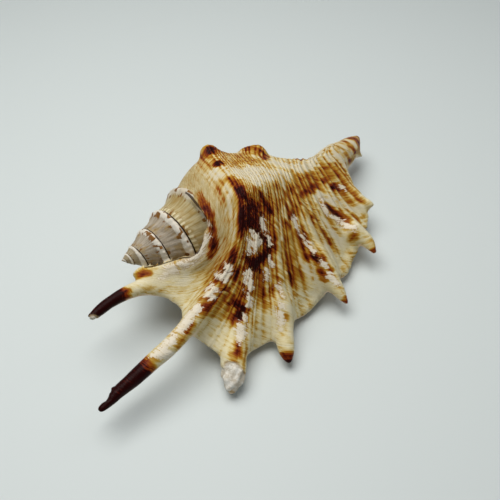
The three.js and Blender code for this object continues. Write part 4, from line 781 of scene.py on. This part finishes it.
rid = m('FLOOR', add(RB, 0.5))
fr = sub(RB, rid)
gap = mul(m('ABSOLUTE', fr), 2.0)
r1 = white(add(rid, 0.37))
r2 = white(add(rid, 31.7))
streak = noise(vec(mul(rid, 3.71), mul(TL, 0.085), 0.0), 1.0, 3.0, 0.6)
fine = noise(vec(mul(RB, 2.3), mul(TL, 0.35), 3.0), 1.0, 3.0, 0.6)
big = noise(pos, 0.075, 2.0, 0.5)
mid = noise(pos, 0.42, 4.0, 0.62)
small = noise(pos, 1.6, 3.0, 0.6)

MILK = (0.77, 0.70, 0.57)
# the shell's own colour scale, from milky cream through ochre and rust to maroon
SCALE = ((0.00, (0.76, 0.70, 0.55)), (0.10, (0.69, 0.60, 0.36)), (0.20, (0.60, 0.46, 0.185)),
         (0.31, (0.49, 0.295, 0.052)), (0.42, (0.37, 0.165, 0.012)), (0.55, (0.265, 0.066, 0.005)),
         (0.68, (0.165, 0.022, 0.003)), (0.80, (0.072, 0.006, 0.0020)), (0.93, (0.018, 0.0012, 0.0009)))

def scale(x):
    n = nt.nodes.new('ShaderNodeValToRGB')
    put(n.inputs[0], m('MULTIPLY', x, 0.625, clamp=True))
    r = n.color_ramp
    while len(r.elements) < len(SCALE):
        r.elements.new(0.5)
    for e, (p, c) in zip(r.elements, SCALE):
        e.position = p
    for e, (p, c) in zip(r.elements, SCALE):
        e.color = (*c, 1.0)
    return n.outputs[0]

def blend(x, *terms):
    for k, f in terms:
        x = add(x, mul(f, k))
    return x

knit = noise(vec(mul(RB, 0.8), mul(TL, 0.55), 9.0), 1.0, 4.0, 0.65)
streak2 = noise(vec(mul(rid, 5.13), mul(TL, 0.21), 7.0), 1.0, 3.0, 0.6)
blot = noise(pos, 0.80, 3.0, 0.6)
grow = noise(vec(mul(RB, 0.30), mul(TL, 2.4), 0.0), 1.0, 2.0, 0.5)
cross = noise(vec(mul(RB, 0.55), mul(TL, 0.9), 4.0), 1.0, 3.0, 0.6)
lipward = ss(TT, 8.3, 10.4)
ramp_ = ss(SS, 2.9, 1.7)
nB, nS2, nM = sub(big, 0.5), sub(streak2, 0.5), sub(mid, 0.5)
nK, nG, nX, nR, nbl = sub(knit, 0.5), sub(grow, 0.5), sub(cross, 0.5), sub(r2, 0.5), sub(blot, 0.5)
dash = sub(white(add(mul(rid, 17.3), m('FLOOR', add(mul(TL, 0.95), mul(r1, 3.0))))), 0.5)
dash2 = sub(white(add(mul(rid, 11.9), m('FLOOR', add(mul(TL, 0.55), mul(r2, 3.0))))), 0.5)
feather = blend(mul(nM, 1.2), (1.6, nS2), (1.0, nK), (0.7, nR), (0.9, dash2))
# how deeply each place is stained, with painted shade in the grooves between cords added in: cream 0, ochre 0.6, rust
# 1.1, maroon 1.5
ochre = ss(add(dO, mul(feather, 0.8)), 2.2, -1.0)
pale = ss(add(dP, mul(feather, 0.8)), 2.2, -1.0)
depth = blend(0.42, (0.80, nB), (0.27, ochre), (-0.33, pale), (-0.24, lipward), (-0.04, ramp_))
depth = blend(depth, (0.95, nX), (0.60, nS2), (0.60, nG), (0.55, nM), (0.10, nR), (0.16, dash))
# cords paler on their crests, darker in the grooves: partly the cords' own colour, partly painted highlight on the
# crests and painted shade in the grooves
crest_ = ss(gap, 0.90, 0.15)
cord_tone_and_groove_shade = mul(sub(0.62, crest_), sub(1.0, mul(m('MAXIMUM', mul(lipward, 0.6), mul(ramp_, 0.75)), 1.0)))
depth = add(depth, mul(mul(cord_tone_and_groove_shade, add(0.44, mul(nK, 1.1))), mul(sub(1.15, mul(pale, 0.35)), add(0.35, mul(ss(add(big, mul(nX, 0.8)), 0.22, 0.66), 0.65)))))
depth = m('MAXIMUM', depth, 0.0)
eB = add(dB, mul(feather, 0.85))
eD = add(dD, mul(feather, 0.75))
depth = blend(depth, (0.42, ss(eB, 1.1, -0.5)), (0.46, ss(eD, 1.7, -0.1)), (0.66, ss(eD, 0.05, -1.6)))
depth = add(depth, mul(ss(eD, 0.6, -1.2), blend(mul(nG, 0.5), (0.45, sub(fine, 0.5)), (1.1, nM), (0.7, nbl))))
col = scale(depth)
# the smooth ramp under the suture and the pale patches are greyer; the pale patches on the shoulder crest are partly
# painted highlight
rampc = mix(ss(add(fine, mul(nG, 0.9)), 0.36, 0.62), (0.49, 0.405, 0.235), (0.34, 0.245, 0.10))
col = mix(mul(mul(ramp_, ss(TT, 9.2, 7.6)), mul(ss(depth, 0.80, 0.50), 0.72)), col, rampc)
col = mix(mul(mul(pale, ss(depth, 0.60, 0.15)), 0.65), col, (0.57, 0.495, 0.35))
dark = ss(eD, 0.2, -0.8)
# smooth margins of lip and webs are yellower
col = mix(mul(mul(lipward, ss(depth, 0.45, 0.15)), 0.6), col, mix(ss(knit, 0.40, 0.72), (0.72, 0.645, 0.40), (0.60, 0.49, 0.22)))
# milky patches, with a stained rim and small brown specks
eW = blend(dW, (0.35, feather), (3.0, nbl), (1.1, dash), (0.5, nR), (2.4, nX), (1.6, nG))
col = mix(mul(ss(eW, 1.05, 0.20), sub(0.55, mul(lipward, 0.40))), col, (0.27, 0.11, 0.012))
whitem = mul(ss(eW, 0.35, -0.20), 0.94)
milk = mix(mul(ss(add(knit, mul(nG, 0.4)), 0.46, 0.70), 0.6), MILK, (0.66, 0.56, 0.37))
milk = mix(mul(ss(noise(pos, 1.3, 2.0, 0.6), 0.62, 0.70), 0.8), milk, (0.36, 0.19, 0.04))
col = mix(whitem, col, milk)
# specks
speck = mul(ss(noise(pos, 2.6, 2.0, 0.6), 0.68, 0.75), 0.5)
col = mix(mul(speck, sub(1.0, dark)), col, (0.24, 0.09, 0.008))

# spire: grey-taupe tip, warmer last whorl, pale spotted cord beside each suture
rays = noise(vec(mul(PH, 13.0), mul(SV, 0.9), mul(TU, 3.0)), 1.0, 3.0, 0.6)
broad = noise(vec(mul(PH, 3.1), mul(SV, 1.6), mul(TU, 5.0)), 1.0, 2.0, 0.5)
late = ss(TU, 0.9, 0.1)
taupe = mix(ss(rays, 0.36, 0.68), (0.46, 0.395, 0.31), (0.30, 0.245, 0.175))
tanw = mix(ss(add(rays, mul(sub(broad, 0.5), 0.5)), 0.36, 0.66), (0.50, 0.42, 0.24), (0.33, 0.23, 0.075))
tanw = mix(ss(SV, 0.40, 0.05), tanw, (0.50, 0.44, 0.34))
spc = mix(late, taupe, tanw)
spc = mix(mul(ss(broad, 0.50, 0.64), 0.6), spc, (0.36, 0.235, 0.075))
spc = mix(ss(HX, 8.0, 3.0), spc, mix(ss(rays, 0.4, 0.6), (0.30, 0.235, 0.13), (0.42, 0.35, 0.24)))
cell = noise(vec(mul(PH, 5.2), mul(TU, 7.7), 0.0), 1.0, 1.0, 0.5)
edge_n = mul(sub(noise(pos, 1.1, 2.0, 0.5), 0.5), 0.14)
bw = add(SV, edge_n)
band = mul(ss(bw, 0.03, 0.06), ss(bw, 0.34, 0.28))
spc = mix(mul(band, sub(0.95, mul(late, 0.45))), spc, (0.74, 0.69, 0.59))
dots = noise(vec(mul(PH, 5.2), mul(WQ, 3.4), 11.0), 1.0, 1.0, 0.4)
spot = mul(mul(ss(bw, 0.03, 0.09), ss(bw, 0.46, 0.34)), ss(dots, 0.555, 0.59))
spc = mix(mul(mul(spot, ss(HX, 7.0, 11.0)), 0.97), spc, (0.205, 0.080, 0.007))
tooth = mul(ss(m('SINE', mul(PH, 44.0)), -0.2, 0.5), mul(ss(bw, 0.80, 0.86), ss(SV, 0.985, 0.965)))
spc = mix(mul(mul(tooth, late), 0.85), spc, (0.72, 0.64, 0.42))
spc = mix(mul(mul(ss(bw, 0.74, 0.90), ss(dots, 0.57, 0.61)), 0.9), spc, (0.21, 0.085, 0.008))
sut = m('MINIMUM', SV, sub(1.0, SV))
spc = mix(ss(sut, 0.034, 0.016), spc, (0.022, 0.010, 0.006))
col = mix(SP, col, spc)

# painted shade: near-black line in the gap between the spire and the lip wall
col = mix(mul(ss(GAP_SHADE, 0.15, 0.75), 0.9), col, (0.030, 0.012, 0.006))

# underside: glossy callus, orange in the aperture
vcol = mix(ss(big, 0.35, 0.65), (0.86, 0.74, 0.58), (0.82, 0.62, 0.42))
vcol = mix(mul(ss(mid, 0.5, 0.8), 0.35), vcol, (0.62, 0.36, 0.16))
vcol = mix(mul(AP, 0.75), vcol, mix(ss(mid, 0.4, 0.6), (0.56, 0.21, 0.065), (0.40, 0.12, 0.035)))
col = mix(mul(VN, sub(1.0, mul(dark, 0.85))), col, vcol)
# broken chalky ends
col = mix(CK, col, mix(ss(add(mid, mul(nbl, 0.5)), 0.36, 0.62), (0.80, 0.77, 0.69), (0.54, 0.48, 0.38)))
rimk = mul(mul(CK, sub(1.0, CK)), 3.2)
col = mix(mul(rimk, ss(mid, 0.35, 0.6)), col, (0.34, 0.22, 0.09))

bs = nt.nodes.new('ShaderNodeBsdfPrincipled')
put(bs.inputs['Base Color'], col)
rough = add(0.36, mul(sub(small, 0.5), 0.25))
put(bs.inputs['Roughness'], m('ADD', rough, mul(CK, 0.4), clamp=True))
bs.inputs['IOR'].default_value = 1.45
bs.inputs['Specular IOR Level'].default_value = 0.08
bs.inputs['Subsurface Weight'].default_value = 0.0

# fine relief on top of the modelled one
high = mul(m('COSINE', mul(RB, 2 * math.pi)), mul(sub(1.0, VN), sub(1.0, SP)))
high = mul(high, mul(ss(SS, 1.6, 3.2), sub(1.0, mul(lipward, 0.6))))
hsum = add(mul(high, 0.10), add(mul(nG, 0.22), mul(sub(small, 0.5), 0.16)))
bump = nt.nodes.new('ShaderNodeBump')
bump.inputs['Strength'].default_value = 0.8
bump.inputs['Distance'].default_value = 0.001
put(bump.inputs['Height'], hsum)
nt.links.new(bump.outputs[0], bs.inputs['Normal'])
out = nt.nodes.new('ShaderNodeOutputMaterial')
nt.links.new(bs.outputs[0], out.inputs['Surface'])
mesh.materials.append(mat)

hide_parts('shell')
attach(piece, 'root')

# ---------------------------------------------------------------- floor, light, camera
fm = bpy.data.materials.new('floor_pale')
fm.use_nodes = True
fb_ = fm.node_tree.nodes['Principled BSDF']
fb_.inputs['Base Color'].default_value = (0.60, 0.648, 0.642, 1)
fb_.inputs['Roughness'].default_value = 0.55
fmesh = bpy.data.meshes.new('floor')
R = 3.0
fmesh.from_pydata([(-R, -R, 0), (R, -R, 0), (R, R, 0), (-R, R, 0)], [], [(0, 1, 2, 3)])
fmesh.materials.append(fm)
floor = bpy.data.objects.new('floor', fmesh)
bpy.context.scene.collection.objects.link(floor)

bpy.context.scene.view_settings.view_transform = 'Standard'
world = bpy.data.worlds.new('studio')
bpy.context.scene.world = world
world.use_nodes = True
bg = world.node_tree.nodes['Background']
bg.inputs[0].default_value = (0.93, 0.97, 1.0, 1)
bg.inputs[1].default_value = 0.165

right, up, back = Vector(CAM_RIGHT), Vector(CAM_UP), Vector(CAM_BACK)
def lamp(name, where, size, power, colour=(1, 1, 1)):
    L = bpy.data.lights.new(name, 'AREA')
    L.shape, L.size, L.energy, L.color, L.spread = 'DISK', size, power, colour, math.radians(125)
    o = bpy.data.objects.new(name, L)
    o.location = where
    o.rotation_euler = (-Vector(where)).to_track_quat('-Z', 'Y').to_euler()
    bpy.context.scene.collection.objects.link(o)
flat_r = Vector((right.x, right.y, 0)).normalized()
flat_b = Vector((-back.x, -back.y, 0)).normalized()   # away from the viewer
lamp('key', tuple(-0.10 * flat_r + 0.07 * flat_b + Vector((0, 0, 0.46))), 0.46, 1.27, (1.0, 0.99, 0.965))
lamp('fill', tuple(0.5 * flat_r + 0.3 * flat_b + Vector((0, 0, 0.6))), 0.6, 0.28, (0.96, 0.98, 1.0))

cam = bpy.data.cameras.new('photo_view')
cam.sensor_width, cam.sensor_fit = 36.0, 'HORIZONTAL'
cam.lens = 18.0 / math.tan(math.radians(18.0))
cam.clip_start, cam.clip_end = 0.01, 10.0
co = bpy.data.objects.new('photo_view', cam)
co.matrix_world = Matrix.Translation((Vector(CAM_POS) - Vector((ORIGIN[0], ORIGIN[1], 0))) * 0.001) @ Matrix((right, up, back)).transposed().to_4x4()
bpy.context.scene.collection.objects.link(co)
bpy.context.scene.camera = co

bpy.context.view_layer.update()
